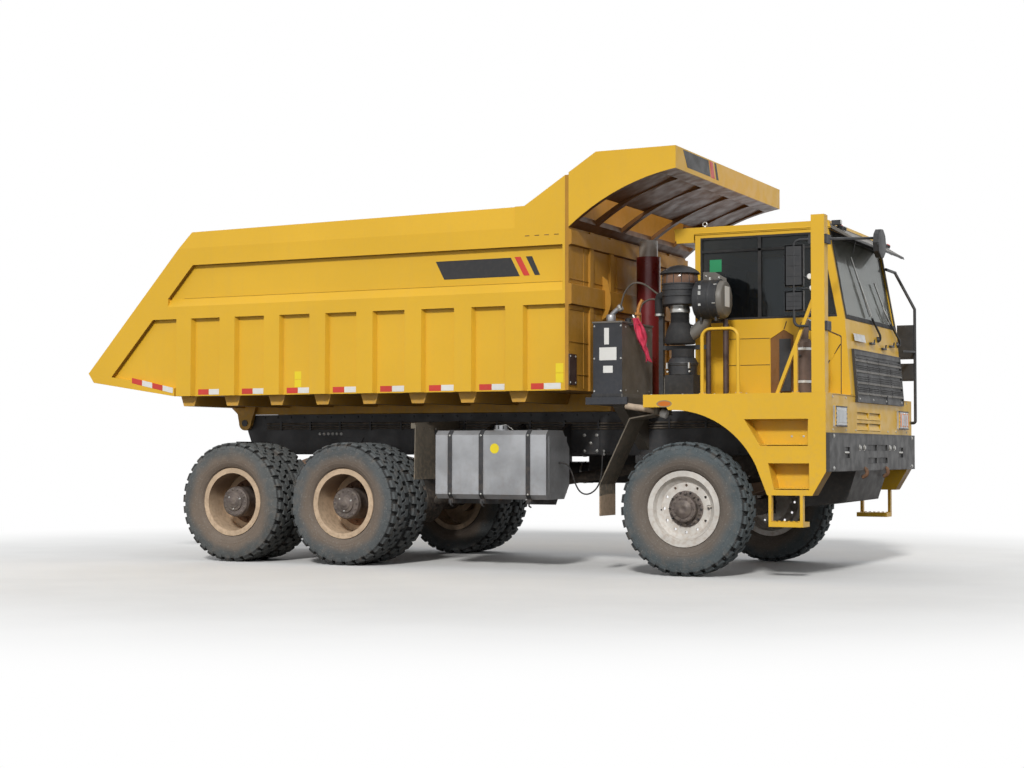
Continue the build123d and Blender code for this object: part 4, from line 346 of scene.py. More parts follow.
AXLE_M = FRONT_AXLE_X / 1000
LAMP_PLACE = (AXLE_M - 0.139, RIGHT * 1.704, 1.754)
LAMP = ((0.62, 0.17, 0.02), LAMP_PLACE, (0.07, 0.004, 0.026))
LAMP_RIM = ((0.3, 0.24, 0.14), LAMP_PLACE, (0.084, 0.004, 0.036))
BETWEEN_WALLS = (1, (1.634, 1.628))
WORN_FLOOR = (0.42, 0.27, 0.07)
MATERIALS = {
    "yellow": yellow_paint("yellow_paint"),
    "yellow_deck": yellow_paint("yellow_deck_paint", marks=(LAMP_RIM, LAMP)),
    "yellow_sides": yellow_paint(
        "yellow_box_paint", inside=(WORN_FLOOR, [BETWEEN_WALLS, (0, (AXLE_M - 1.2, AXLE_M - 1.25))], 0.6)
    ),
    # the canopy's faces that do not look up, within its sides and behind its front edge, turn dark brown:
    # painted shade under the canopy
    "yellow_canopy": yellow_paint(
        "yellow_canopy_paint_shaded_under",
        inside=(
            (0.17, 0.075, 0.022),
            [(1, (1.692, 1.688)), (0, (AXLE_M - 0.02, AXLE_M - 0.03)), (FACES_UP, (0.35, 0.2))], 0.05
        )
    ),
    # the headboard's darker yellow base is painted shade from the canopy above it
    "yellow_front_shaded": finish_of(
        "yellow_headboard_painted_shade", (0.5, 0.25, 0.035), 0.5, vary=0.12, scale=1.1, dust=0.3, dust_top=3.6,
        dust_colour=(0.2, 0.11, 0.05), edge=(0.6, 0.34, 0.06), streaks=0.12, underside_shade=(UNDERSIDE_SHADE_COLOUR, 0.8),
        Specular_IOR_Level=0.25,
        inside=(WORN_FLOOR, [(0, (AXLE_M - 1.245, AXLE_M - 1.248)), BETWEEN_WALLS], 0.6)
    ),
    # the box floor's darker yellow base is painted shade on its underside; its dust, streaks and worn top
    # between the walls are dirt and wear
    "yellow_under_shaded": finish_of(
        "yellow_paint_shaded_floor", (0.62, 0.34, 0.04), 0.5, vary=0.1, scale=1.2, dust=0.35, dust_top=3.5,
        edge=(0.8, 0.5, 0.1), streaks=0.12, underside_shade=(UNDERSIDE_SHADE_COLOUR, 0.7),
        inside=((0.4, 0.26, 0.08), [(2, (1.93, 1.934)), BETWEEN_WALLS], 0.7)
    ),
    "chassis": finish_of(
        "chassis_paint", (0.035, 0.036, 0.04), 0.55, vary=0.25, scale=3, dust=0.5,
        dust_colour=(0.17, 0.13, 0.1), edge=(0.12, 0.11, 0.1), grain_depth=0.001
    ),
    "black": finish_of(
        "black_plastic", (0.022, 0.023, 0.026), 0.5, vary=0.2, scale=5, dust=0.25, dust_top=2.6,
        dust_colour=(0.2, 0.17, 0.14), edge=(0.1, 0.1, 0.1), grain=320
    ),
    "bumper": finish_of(
        "dark_grey_paint", (0.035, 0.035, 0.036), 0.5, vary=0.14, scale=3, dust=0.22,
        dust_colour=(0.22, 0.19, 0.16), edge=(0.2, 0.19, 0.18)
    ),
    "grey": finish_of(
        "grey_paint", (0.14, 0.13, 0.115), 0.5, vary=0.14, scale=3, dust=0.35, dust_top=2.6,
        dust_colour=(0.25, 0.2, 0.15), edge=(0.3, 0.28, 0.25)
    ),
    "cabinet": finish_of(
        "cabinet_black", (0.125, 0.11, 0.09), 0.5, vary=0.12, scale=3, dust=0.15, dust_top=2.8,
        dust_colour=(0.2, 0.17, 0.14), edge=(0.2, 0.18, 0.16),
        inside=((0.026, 0.029, 0.037), [(1, (1.494, 1.4985))], 0.03)
    ),
    "rubber": finish_of(
        "black_rubber", (0.018, 0.018, 0.019), 0.75, vary=0.2, scale=6, dust=0.3, dust_top=2.5,
        dust_colour=(0.16, 0.13, 0.11), grain=240, grain_depth=0.0012
    ),
    "flap": finish_of(
        "dusty_rubber", (0.16, 0.14, 0.11), 0.85, vary=0.2, scale=4, dust=0.75, dust_top=1.9,
        dust_colour=(0.36, 0.28, 0.2), grain=90, grain_depth=0.002,
        marks=(((0.5, 0.37, 0.26), (AXLE_M - 0.8, -1.3, 0.66), (0.4, 0.6, 0.17)),)
    ),
    "steel": finish_of(
        "bright_steel", (0.52, 0.52, 0.5), 0.35, metallic=0.85, vary=0.15, scale=8, dust=0.25, dust_top=2.6,
        edge=(0.7, 0.7, 0.7)
    ),
    "chrome": finish_of(
        "polished_rod", (0.62, 0.63, 0.65), 0.12, metallic=1.0, vary=0.06, scale=6, dust=0.1,
        grain_depth=0.0002
    ),
    "aluminium": finish_of(
        "brushed_aluminium", (0.40, 0.41, 0.43), 0.4, metallic=0.6, vary=0.22, scale=1.8, dust=0.3,
        dust_top=1.5, dust_colour=(0.27, 0.23, 0.2), streaks=0.3, edge=(0.62, 0.62, 0.62)
    ),
    "rust": finish_of(
        "rusty_iron", (0.15, 0.075, 0.04), 0.8, vary=0.4, scale=9, dust=0.6, dust_colour=(0.24, 0.17, 0.12),
        grain=120, grain_depth=0.002
    ),
    "leaf": finish_of(
        "spring_steel", (0.24, 0.155, 0.11), 0.7, vary=0.25, scale=6, dust=0.6,
        dust_colour=(0.33, 0.25, 0.18), edge=(0.3, 0.25, 0.2), grain_depth=0.0015
    ),
    "axle": finish_of(
        "axle_grime", (0.07, 0.06, 0.052), 0.75, vary=0.3, scale=5, dust=0.8,
        dust_colour=(0.24, 0.19, 0.15), grain=80, grain_depth=0.003
    ),
    "front_rim": finish_of(
        "pale_rim", (0.68, 0.65, 0.61), 0.4, metallic=0.15, vary=0.1, scale=5, dust=0.4,
        dust_colour=(0.4, 0.3, 0.22), edge=(0.33, 0.22, 0.15), edge_amount=0.6
    ),
    # the rims' faces that look down take painted shade
    "rear_rim": finish_of(
        "beige_rim", (0.60, 0.45, 0.31), 0.6, vary=0.14, scale=3, dust=0.4, dust_colour=(0.30, 0.2, 0.13),
        edge=(0.3, 0.18, 0.11), edge_amount=0.5, underside_shade=((0.1, 0.05, 0.03), 0.7)
    ),
    "hub": finish_of(
        "greasy_hub", (0.13, 0.105, 0.095), 0.5, metallic=0.3, vary=0.3, scale=9, dust=0.55,
        dust_colour=(0.26, 0.22, 0.18), edge=(0.3, 0.28, 0.26), grain_depth=0.002
    ),
    "maroon": finish_of(
        "maroon_paint", (0.17, 0.014, 0.018), 0.34, vary=0.1, scale=2, dust=0.1, dust_top=3,
        inside=((0.5, 0.47, 0.43), [(2, (3.45, 3.465))], 0.2), Coat_Weight=0.3, Coat_Roughness=0.2
    ),
    "exhaust": finish_of(
        "heated_steel", (0.115, 0.078, 0.062), 0.55, metallic=0.35, vary=0.3, scale=5, dust=0.3,
        dust_top=2.6, dust_colour=(0.2, 0.13, 0.09), edge=(0.24, 0.2, 0.18), streaks=0.25
    ),
    # dark brown for the painted shadow of the recess in the cab's side
    "recess_shadow": finish_of(
        "painted_recess_shadow", (0.2, 0.085, 0.018), 0.6, vary=0.15, scale=4, dust=0.2, dust_top=2.8
    ),
    "post": finish_of("brown_post", (0.06, 0.035, 0.03), 0.5, vary=0.25, scale=5, dust=0.2, dust_top=2.8),
    "hose": finish_of(
        "hydraulic_hose", (0.1, 0.085, 0.07), 0.65, vary=0.25, scale=12, dust=0.3, dust_top=3.2, grain=300
    ),
    "amber": finish_of(
        "amber_cup", (0.16, 0.08, 0.045), 0.15, vary=0.3, scale=7, dust=0.25, dust_top=3.6,
        dust_colour=(0.3, 0.22, 0.16)
    ),
    "white": finish_of("white_vinyl", (0.8, 0.8, 0.78), 0.45, vary=0.04, dust=0.12, dust_top=3),
    "red": finish_of("red_reflector", (0.62, 0.045, 0.03), 0.35, vary=0.08, dust=0.1, dust_top=3),
    "sticker": finish_of("yellow_vinyl", (0.86, 0.68, 0.02), 0.4, vary=0.05, dust=0.1, dust_top=3),
    "green": finish_of("green_vinyl", (0.02, 0.3, 0.12), 0.5, vary=0.15, dust=0.05, dust_top=3),
    "decal": finish_of("black_vinyl", (0.018, 0.018, 0.02), 0.42, vary=0.1, dust=0.08, dust_top=4),
    "orange": finish_of("orange_lens", (0.8, 0.22, 0.02), 0.2, vary=0.12, dust=0.15, dust_top=3),
    "lens": finish_of(
        "clear_lens", (0.5, 0.52, 0.54), 0.12, metallic=0.3, vary=0.15, scale=9, dust=0.15, dust_top=3
    ),
    "seat_shell": finish_of("seat_shell", (0.03, 0.03, 0.033), 0.6, vary=0.15, dust=0.05),
    "cloth": finish_of(
        "grey_seat_cloth", (0.06, 0.063, 0.07), 0.92, vary=0.2, scale=12, dust=0.05, grain=600,
        grain_depth=0.0008
    ),
    "pale_cloth": finish_of(
        "pale_headrest_cloth", (0.52, 0.53, 0.54), 0.9, vary=0.1, scale=12, dust=0.05, grain=600,
        grain_depth=0.0008
    ),
    "pink": finish_of(
        "pink_red_cloth", (0.62, 0.045, 0.10), 0.85, vary=0.2, scale=12, dust=0.15, dust_top=3, grain=500
    ),
    "brass": finish_of(
        "orange_fitting", (0.62, 0.27, 0.07), 0.4, metallic=0.4, vary=0.2, scale=9, dust=0.2, dust_top=3
    ),
    "wrap": finish_of(
        "wrapped_pipe", (0.5, 0.4, 0.3), 0.8, vary=0.2, scale=14, dust=0.4, grain=120, grain_depth=0.003
    ),
    # the windscreen's pale haze is a painted reflection and the side panes' dark haze is painted shade, each
    # over a dust film
    "glass": glass_of(
        "cab_glass", ((0.3, 0.33, 0.35), (0.035, 0.04, 0.048), 0.16),
        ((0.55, 0.6, 0.56), (0.3, 0.31, 0.28), 0.5)
    ),
    "mirror": finish_of(
        "mirror_glass", (0.7, 0.72, 0.75), 0.05, metallic=1.0, vary=0.04, dust=0.05, dust_top=3,
        grain_depth=0.0
    ),
    "tyre_front": rubber_tyre("tyre_rubber_front", 0, (0.15, 0.125, 0.105), (0.085, 0.103, 0.112)),
    "tyre_middle": rubber_tyre("tyre_rubber_middle", MIDDLE_AXLE, (0.17, 0.135, 0.108), (0.09, 0.1, 0.105)),
    "tyre_rear": rubber_tyre("tyre_rubber_rear", REAR_AXLE, (0.18, 0.142, 0.112), (0.095, 0.102, 0.103)),
}

# CAD nodes that no piece below stands for take their finish here
NODE_FINISH = {
    "yellow": [
        "cab_shell", "cab_roof", "cab_door", "deck_left", "deck_rails", "front_panel", "corner_post",
    ],
    "yellow_deck": ["deck_right"],
    "yellow_canopy": ["box_canopy"],
    "yellow_sides": ["box_sides"],
    "yellow_front_shaded": ["box_headboard"],
    "yellow_under_shaded": ["box_floor"],
    "chassis": [
        "chassis_frame", "cross_members", "trunnion", "tank_brackets", "radiator", "battery_box",
        "air_tanks"
    ],
    "black": ["mirrors", "left_handrail", "dashboard"],
    "grey": ["sun_visor"],
    "exhaust": ["silencer"],
    "bumper": ["bumper", "grille"],
    "cabinet": ["hydraulic_tank"],
    "aluminium": ["fuel_tank"],
    "axle": [
        "front_axle", "rear_axles", "knuckle_left", "knuckle_right", "engine_block", "propeller_shaft"
    ],
    "leaf": ["front_springs", "tandem_springs"],
    "front_rim": ["rim_front_left", "rim_front_right"],
    "rear_rim": ["rims_middle_left", "rims_middle_right", "rims_rear_left", "rims_rear_right"],
    "flap": ["mud_guards"],
    "maroon": ["hoist_barrel"],
    "chrome": ["hoist_stage_1", "hoist_stage_2", "hoist_stage_3"],
    "glass": ["cab_glass"],
    "lens": ["headlamps"],
}
for finish, names in NODE_FINISH.items():
    for name in names:
        node = nodes[name]
        node.data.materials.clear()
        node.data.materials.append(MATERIALS[finish])


def inset(outline, gap):
    """The corners of a convex outline moved inwards by gap."""
    count = len(outline)
    turn = sum(
        outline[i][0] * outline[(i + 1) % count][1] - outline[(i + 1) % count][0] * outline[i][1]
        for i in range(count)
    )
    lines = []
    for i in range(count):
        start, end = Vector(outline[i]), Vector(outline[(i + 1) % count])
        along = (end - start).normalized()
        inward = Vector((-along.y, along.x)) * (gap if turn > 0 else -gap)
        lines.append((start + inward, along))
    corners = []
    for i in range(count):
        (p, d), (q, e) = lines[i - 1], lines[i]
        share = ((q.x - p.x) * e.y - (q.y - p.y) * e.x) / (d.x * e.y - d.y * e.x)
        corners.append(tuple(p + d * share))
    return corners


# Pieces: one mesh gathered from solids of many kinds
BEND_STEPS = 6


class Piece:
    """finishes are names in MATERIALS, and the finish of each solid is its place in that list."""

    def __init__(self, name, body, finishes, bevel=0.003, angle=35):
        self.name = name
        self.body = body
        self.finishes = finishes
        self.bevel = bevel
        self.angle = angle
        self.verts = []
        self.faces = []
        self.marks = []

    def add(self, points, faces, finish=0):
        """points are places from at, faces the indices of their corners among these points."""
        base = len(self.verts)
        self.verts.extend(points)
        self.faces.extend([tuple(base + i for i in face) for face in faces])
        self.marks.extend([finish] * len(faces))

    def prism(self, outline, normal, start, end, finish=0):
        """outline holds pairs in the plane across normal: x -> (y, z), y -> (x, z), z -> (x, y)."""
        place = {
            "x": lambda a, b, d: at(d, a, b),
            "y": lambda a, b, d: at(a, d, b),
            "z": lambda a, b, d: at(a, b, d),
        }[normal]
        count = len(outline)
        points = [place(a, b, d) for d in (start, end) for a, b in outline]
        sides = [(i, (i + 1) % count, count + (i + 1) % count, count + i) for i in range(count)]
        self.add(points, [tuple(range(count - 1, -1, -1)), tuple(range(count, 2 * count)), *sides], finish)

    def block(self, low, high, finish=0):
        (x0, y0, z0), (x1, y1, z1) = low, high
        self.prism(rect(x0, y0, x1, y1), "z", z0, z1, finish)

    def plate(self, corners, depth, finish=0, hole=None):
        """A flat plate on corners (x, y, z), depth thick along their normal; hole repeats them further in."""
        corners = [Vector(c) for c in corners]
        normal = (corners[1] - corners[0]).cross(corners[2] - corners[0]).normalized() * depth
        rings = [corners] if hole is None else [corners, [Vector(c) for c in hole]]
        count = len(corners)
        points = [at(*(c + lift)) for ring in rings for lift in (Vector(), normal) for c in ring]
        steps = [(i, (i + 1) % count) for i in range(count)]
        faces = [(i, j, count + j, count + i) for i, j in steps]
        if hole is None:
            faces += [tuple(range(count - 1, -1, -1)), tuple(range(count, 2 * count))]
        else:
            base = 2 * count
            faces += [(base + j, base + i, base + count + i, base + count + j) for i, j in steps]
            faces += [(j, i, base + i, base + j) for i, j in steps]
            faces += [(count + i, count + j, base + count + j, base + count + i) for i, j in steps]
        self.add(points, faces, finish)

    def ring(self, outline, gap, y, depth, finish=0):
        """A flat frame across y: outline holds pairs (x, z), and its bar is gap wide on the inside."""
        hole = [(x, y, z) for x, z in inset(outline, gap)]
        self.plate([(x, y, z) for x, z in outline], depth, finish, hole)

    def lathe(self, outline, centre, axis, finish=0, segments=40):
        """outline holds pairs (distance along the axis, radius) from centre."""
        axis = Vector(axis).normalized()
        across = axis.orthogonal().normalized()
        other = axis.cross(across)
        middle = at(*centre)
        count = len(outline)
        points = []
        for a, b in circle(segments, 1):
            out = across * a + other * b
            points.extend([middle + axis * (d / 1000) + out * (r / 1000) for d, r in outline])
        faces = []
        for k in range(segments):
            n = (k + 1) % segments
            for i in range(count - 1):
                faces.append((k * count + i, n * count + i, n * count + i + 1, k * count + i + 1))
        self.add(points, faces, finish)

    def tube(self, route, radius, finish=0, sides=12, bend=0):
        """A pipe along straight runs; corners are rounded by bend."""
        route = [Vector(p) for p in route]
        path = [route[0]]
        for i in range(1, len(route) - 1):
            before, here, after = route[i - 1], route[i], route[i + 1]
            if not bend:
                path.append(here)
                continue
            reach = min(bend, (before - here).length * 0.45, (after - here).length * 0.45)
            start = here + (before - here).normalized() * reach
            end = here + (after - here).normalized() * reach
            for k in range(BEND_STEPS + 1):
                t = k / BEND_STEPS
                path.append(start * (1 - t) ** 2 + here * 2 * t * (1 - t) + end * t * t)
        path.append(route[-1])
        tangent = (path[1] - path[0]).normalized()
        across = tangent.orthogonal().normalized()
        points = []
        for i, here in enumerate(path):
            if 0 < i < len(path) - 1:
                heading = ((path[i + 1] - here).normalized() + (here - path[i - 1]).normalized()).normalized()
            else:
                heading = (path[min(i + 1, len(path) - 1)] - path[max(i - 1, 0)]).normalized()
            across = (across - heading * across.dot(heading)).normalized()
            other = heading.cross(across)
            points.extend([at(*(here + (across * a + other * b) * radius)) for a, b in circle(sides, 1)])
        faces = []
        for i in range(len(path) - 1):
            for k in range(sides):
                n = (k + 1) % sides
                faces.append((i * sides + k, i * sides + n, (i + 1) * sides + n, (i + 1) * sides + k))
        last = (len(path) - 1) * sides
        faces += [tuple(range(sides - 1, -1, -1)), tuple(range(last, last + sides))]
        self.add(points, faces, finish)

    def bolt(self, place, axis, radius=12, height=9, finish=0, washer=True):
        """A hexagon head on a washer."""
        if washer:
            self.lathe(collar(0, 2.5, radius * 1.35), place, axis, finish, 14)
        head = [(0, 0), (0, radius), (height * 0.8, radius), (height, radius * 0.78), (height, 0)]
        self.lathe(head, place, axis, finish, 6)

    def done(self, *stands_for):
        mesh = bpy.data.meshes.new(self.name)
        mesh.from_pydata([tuple(v) for v in self.verts], [], self.faces)
        for finish in self.finishes:
            mesh.materials.append(MATERIALS[finish])
        mesh.polygons.foreach_set("material_index", self.marks)
        work = bmesh.new()
        work.from_mesh(mesh)
        bmesh.ops.remove_doubles(work, verts=work.verts, dist=0.00002)
        bmesh.ops.recalc_face_normals(work, faces=work.faces)
        work.to_mesh(mesh)
        work.free()
        mesh.shade_smooth()
        mesh.set_sharp_from_angle(angle=radians(self.angle))
        piece = placed(self.name, mesh)
        if self.bevel:
            rounding = piece.modifiers.new("rounding", "BEVEL")
            rounding.width = self.bevel
            rounding.segments = 2
            rounding.limit_method = "ANGLE"
            rounding.angle_limit = radians(self.angle)
            rounding.use_clamp_overlap = True
            rounding.harden_normals = True
        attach(piece, self.body)
        if stands_for:
            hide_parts(*stands_for)
        return piece


# Tyres: a moulded carcass with staggered shoulder lugs and a zigzag of middle blocks
LUGS = 32
HALF_CARCASS = [
    (0, 660), (120, 655), (166, 641), (178, 618), (184, 585), (187, 545), (187, 510), (182, 470),
    (170, 436), (150, 410), (124, 394), (119, 391), (119, 347),
]
CARCASS = [(-d, r) for d, r in HALF_CARCASS[:0:-1]] + HALF_CARCASS
WALL_RINGS = ((412, 151.5), (448, 175.5), (478, 184), (560, 186.6), (600, 181.5))
SHOULDER_LUG = [(86, 645), (86, 683), (150, 681), (170, 664), (183, 612), (176, 604), (150, 640)]
MIDDLE_BLOCK = [(6, 650), (6, 685), (74, 684), (74, 650)]
LUG_KINDS = ((SHOULDER_LUG, 0.62, 0, 0.05), (MIDDLE_BLOCK, 0.74, 0.5, 0.22))


def tyre(piece, axle_x, centre, turn):
    hub = (axle_x, centre, WHEEL_Z)
    piece.lathe(CARCASS, hub, TO_LEFT, 0, 96)
    for ring, face in WALL_RINGS:
        for side in (RIGHT, LEFT):
            rib = [(face - 2, ring - 5), (face + 1, ring - 2), (face + 1, ring + 2), (face - 2, ring + 5)]
            piece.lathe([(side * d, r) for d, r in rib], hub, TO_LEFT, 0, 96)
    step = 2 * pi / LUGS
    for k in range(LUGS):
        for side in (RIGHT, LEFT):
            for outline, width, shift, skew in LUG_KINDS:
                start = (k + shift + (0.5 if side > 0 else 0)) * step + turn
                points = []
                for share in (0, 1):
                    for d, r in outline:
                        a = start + step * (width * (share - 0.5) + skew * d / 80)
                        points.append(at(axle_x + r * cos(a), centre + side * d, WHEEL_Z + r * sin(a)))
                count = len(outline)
                sides = [(i, (i + 1) % count, count + (i + 1) % count, count + i) for i in range(count)]
                ends = [tuple(range(count)), tuple(range(2 * count - 1, count - 1, -1))]
                piece.add(points, [*ends, *sides], 0)


FRONT_TYRE_Y = 1400
DUAL_TYRES_Y = (1082, 1506)
DUAL_AXLES = (("middle", MIDDLE_AXLE), ("rear", REAR_AXLE))
for side, word in SIDES:
    piece = Piece(f"tyre_tread_front_{word}", f"wheel_front_{word}", ["tyre_front"], bevel=0.002)
    tyre(piece, 0, side * FRONT_TYRE_Y, 0.03)
    piece.done(f"tyre_front_{word}")
    for axle, axle_x in DUAL_AXLES:
        piece = Piece(f"tyre_treads_{axle}_{word}", f"wheels_{axle}_{word}", [f"tyre_{axle}"], bevel=0.002)
        for n, centre in enumerate(DUAL_TYRES_Y):
            tyre(piece, axle_x, side * centre, 0.06 + 0.09 * n + 0.02 * side)
        piece.done(f"tyres_{axle}_{word}")


def hub_end(rim, axle_x, reach):
    """How far out the CAD rim goes within reach, in metres, of its axle."""
    places = [v.co for v in nodes[rim].data.vertices]
    middle = at(axle_x, 0, WHEEL_Z)
    return max(abs(p.y) for p in places if (p - middle).cross(Vector(TO_LEFT)).length < reach) * 1000


# Hubs: nuts, studs, drain holes and the hub's cap on each wheel
FRONT_DISC, REAR_DISC = 1446, 1276
rear_end = hub_end("rims_rear_right", REAR_AXLE, 0.17)
for side, word in SIDES:
    piece = Piece(
        f"hub_front_{word}", f"wheel_front_{word}", ["hub", "front_rim", "steel", "black"], bevel=0.002
    )
    end = hub_end(f"rim_front_{word}", 0, 0.14)
    reach = end - FRONT_DISC
    out = (0, side, 0)
    disc = (0, side * FRONT_DISC, WHEEL_Z)
    cap = (0, side * (end + 1.5), WHEEL_Z)
    piece.lathe([(0.5, 186), (10, 186), (14, 176), (14, 132), (0.5, 132)], disc, out, 0, 60)
    for x, z in circle(10, 158, 0.5):
        piece.bolt((x, side * (FRONT_DISC + 13), WHEEL_Z + z), out, 15, 22, 0)
    piece.lathe([(0.5, 134), (reach - 8, 134), (reach + 1.5, 127), (reach + 1.5, 0)], disc, out, 0, 56)
    for x, z in circle(10, 112):
        piece.bolt((x, side * (end + 1.5), WHEEL_Z + z), out, 8, 8, 0)
    for x, z in circle(10, 172):
        stud = [(0, 0), (0, 9), (30, 9), (33, 6), (33, 0)]
        piece.lathe(stud, (x, side * (FRONT_DISC + 8), WHEEL_Z + z), out, 3, 10)
    piece.lathe(
        [(0, 92), (8, 92), (14, 84), (16, 62), (22, 54), (24, 30), (20, 22), (20, 0)], cap, out, 0, 40
    )
    for d, r in ((-6, 387), (-14, 372), (-30, 352)):
        step = [(d - 4, r - 3), (d, r), (d + 4, r - 1), (d + 3, r - 8), (d - 4, r - 10)]
        piece.lathe(step, (0, side * 1530, WHEEL_Z), out, 1, 88)
    for a in (0.05, pi + 0.05):
        drain = (272 * cos(a), side * 1450, WHEEL_Z + 272 * sin(a))
        piece.lathe(collar(0, 4, 9), drain, out, 3, 12)
    piece.tube([(236, side * 1470, 720), (262, side * 1490, 724), (284, side * 1506, 727)], 5, 2)
    piece.done()
    for axle, axle_x in DUAL_AXLES:
        piece = Piece(
            f"hubs_{axle}_{word}", f"wheels_{axle}_{word}", ["hub", "rear_rim", "rust", "steel"],
            bevel=0.002
        )
        disc = (axle_x, side * REAR_DISC, WHEEL_Z)
        cap = (axle_x, side * (rear_end + 2), WHEEL_Z)
        reach = rear_end - REAR_DISC
        piece.lathe([(0.5, 255), (16, 255), (22, 246), (22, 166), (0.5, 166)], disc, out, 2, 60)
        for x, z in circle(10, 213, 0.3):
            piece.bolt((axle_x + x, side * (REAR_DISC + 21), WHEEL_Z + z), out, 17, 30, 2)
        piece.lathe(
            [(18, 178), (30, 172), (reach - 70, 170), (reach - 60, 176), (reach - 34, 176), (reach - 26, 170),
             (reach - 8, 168), (reach + 2, 158), (reach + 2, 0)], disc, out, 0, 64,
        )
        for x, z in circle(14, 140):
            piece.bolt((axle_x + x, side * (rear_end + 2), WHEEL_Z + z), out, 10, 10, 0)
        piece.lathe(
            [(0, 104), (10, 104), (16, 98), (18, 74), (26, 66), (28, 36), (34, 28), (34, 0)], cap, out, 0,
            40
        )
        for x, z in circle(3, 84, 0.2):
            piece.bolt((axle_x + x, side * (rear_end + 18), WHEEL_Z + z), out, 8, 8, 3)
        for d, r in ((-4, 388), (-12, 374), (-40, 350)):
            step = [(d - 5, r - 3), (d, r), (d + 4, r - 2), (d + 3, r - 9), (d - 5, r - 12)]
            piece.lathe(step, (axle_x, side * 1636, WHEEL_Z), out, 1, 88)
        valve = [
            (axle_x + 250, side * 1310, 700), (axle_x + 300, side * 1420, 706),
            (axle_x + 330, side * 1560, 710)
        ]
        piece.tube(valve, 6, 3)
        piece.done()

# Dump box: reflecting tape, blank stickers, plain slanted decals, weld beads and bolt slots
RIB_FIRST, RIB_PITCH, RIBS = -6270, 617, 8
WALL_FACE, RAIL_FACE = 1640, 1700
RAIL_DROP = (2135 - 2007) / (6914 - 6310)
for side, word in SIDES:
    piece = Piece(
        f"box_tape_{word}", "dump_box", ["red", "white", "sticker", "decal", "yellow", "rust"], bevel=0
    )

    def patch(outline, finish, face, proud=1.2):
        piece.prism(outline, "y", side * (face - 0.4), side * (face + proud), finish)

    for k in range(RIBS):
        begin = RIB_FIRST + RIB_PITCH * k + 278
        split, stop = begin + 148, begin + (348 if k == RIBS - 1 else 304)
        for a, b, finish in ((begin, split, 0), (split + 4, stop, 1)):
            patch(rect(a, 1925, b, 1989), finish, WALL_FACE)
    for k in range(4):
        a, b = -6914 + 151 * k, -6914 + 151 * (k + 1) - 3
        high = [2137 - RAIL_DROP * (x + 6914) for x in (a, b)]
        patch([(a, high[0] - 64), (b, high[1] - 64), (b, high[1]), (a, high[0])], k % 2, RAIL_FACE)
    for x, low, high in ((-4652, 1990, 2172), (-1384, 1990, 2195)):
        for a, b in ((low, (low + high) / 2 - 3), ((low + high) / 2 + 3, high)):
            patch(rect(x, a, x + 90, b), 2, WALL_FACE)
    patch([(-2827, 3333), (-1912, 3334), (-1805, 3132), (-2722, 3132)], 3, WALL_FACE)
    patch([(-1869, 3339), (-1797, 3339), (-1686, 3135), (-1758, 3135)], 0, WALL_FACE)
    patch([(-1734, 3339), (-1662, 3339), (-1566, 3135), (-1628, 3135)], 3, WALL_FACE)
    for x in (-1690, -1575, -1462, -1348):
        patch(rect(x - 26, 3545, x + 26, 3553), 5, RAIL_FACE)
    weld = side * 1641
    for k in range(RIBS):
        for x in (RIB_FIRST + RIB_PITCH * k - 27, RIB_FIRST + RIB_PITCH * k + 237):
            if x < -1260:
                low = 2100 if x < -6293 else 1935
                piece.tube([(x, weld, low), (x, weld, 2790)], 4, 4, 6)
    piece.tube([(-5990, weld, 3436), (-1280, weld, 3436)], 4, 4, 6)
    piece.tube([(-6200, weld, 3060), (-1280, weld, 3060)], 4, 4, 6)
    piece.done()

piece = Piece("canopy_lip_decal", "dump_box", ["decal", "red"], bevel=0)
for outline, finish in (
    ([(-1491, 4373), (-738, 4373), (-672, 4205), (-1367, 4205)], 0),
    ([(-712, 4373), (-604, 4373), (-537, 4200), (-652, 4200)], 1),
    ([(-558, 4373), (-498, 4373), (-423, 4200), (-492, 4200)], 0),
):
    piece.prism(outline, "x", -11, -8.8, finish)
piece.done()

piece = Piece("headboard_dressing", "dump_box", ["yellow_front_shaded", "post", "steel", "rust"], bevel=0.002)
for side in (RIGHT, LEFT):
    piece.block((-1210, side * 1700, 1965), (-1196, side * 1520, 2290), 1)
    for y, z in ((1545, 1990), (1545, 2265), (1675, 1990), (1675, 2265)):
        piece.bolt((-1196, side * y, z), AHEAD, 10, 8, 2)
    piece.prism(
        [(-1209, 2700), (-1209, 3180), (-1150, 3130), (-1110, 2960), (-1110, 2860), (-1150, 2740)], "y",
        side * 806, side * 818, 0
    )
    piece.prism(
        [(-1209, 1935), (-1209, 2180), (-1165, 2120), (-1120, 1960), (-1120, 1935)], "y", side * 806,
        side * 818, 0
    )
    for z in (2080, 2420, 2760, 3080):
        piece.tube([(-1205, side * 190, z), (-1205, side * 1690, z)], 4, 0, 6)
for y in (-1320, -420, 420, 1320):
    piece.tube([(-1207, y, 1930), (-1207, y, 3600)], 4, 0, 6)
piece.done()

# Tail of the floor: wear strips
piece = Piece("tail_dressing", "dump_box", ["steel", "rust", "yellow_under_shaded"], bevel=0.002)
for k in range(9):
    y = -1480 + 370 * k
    piece.plate(
        [(-7480, y - 14, 2119), (-7480, y + 14, 2119), (-6500, y + 14, 1970), (-6500, y - 14, 1970)], 6, 1
    )
piece.done()

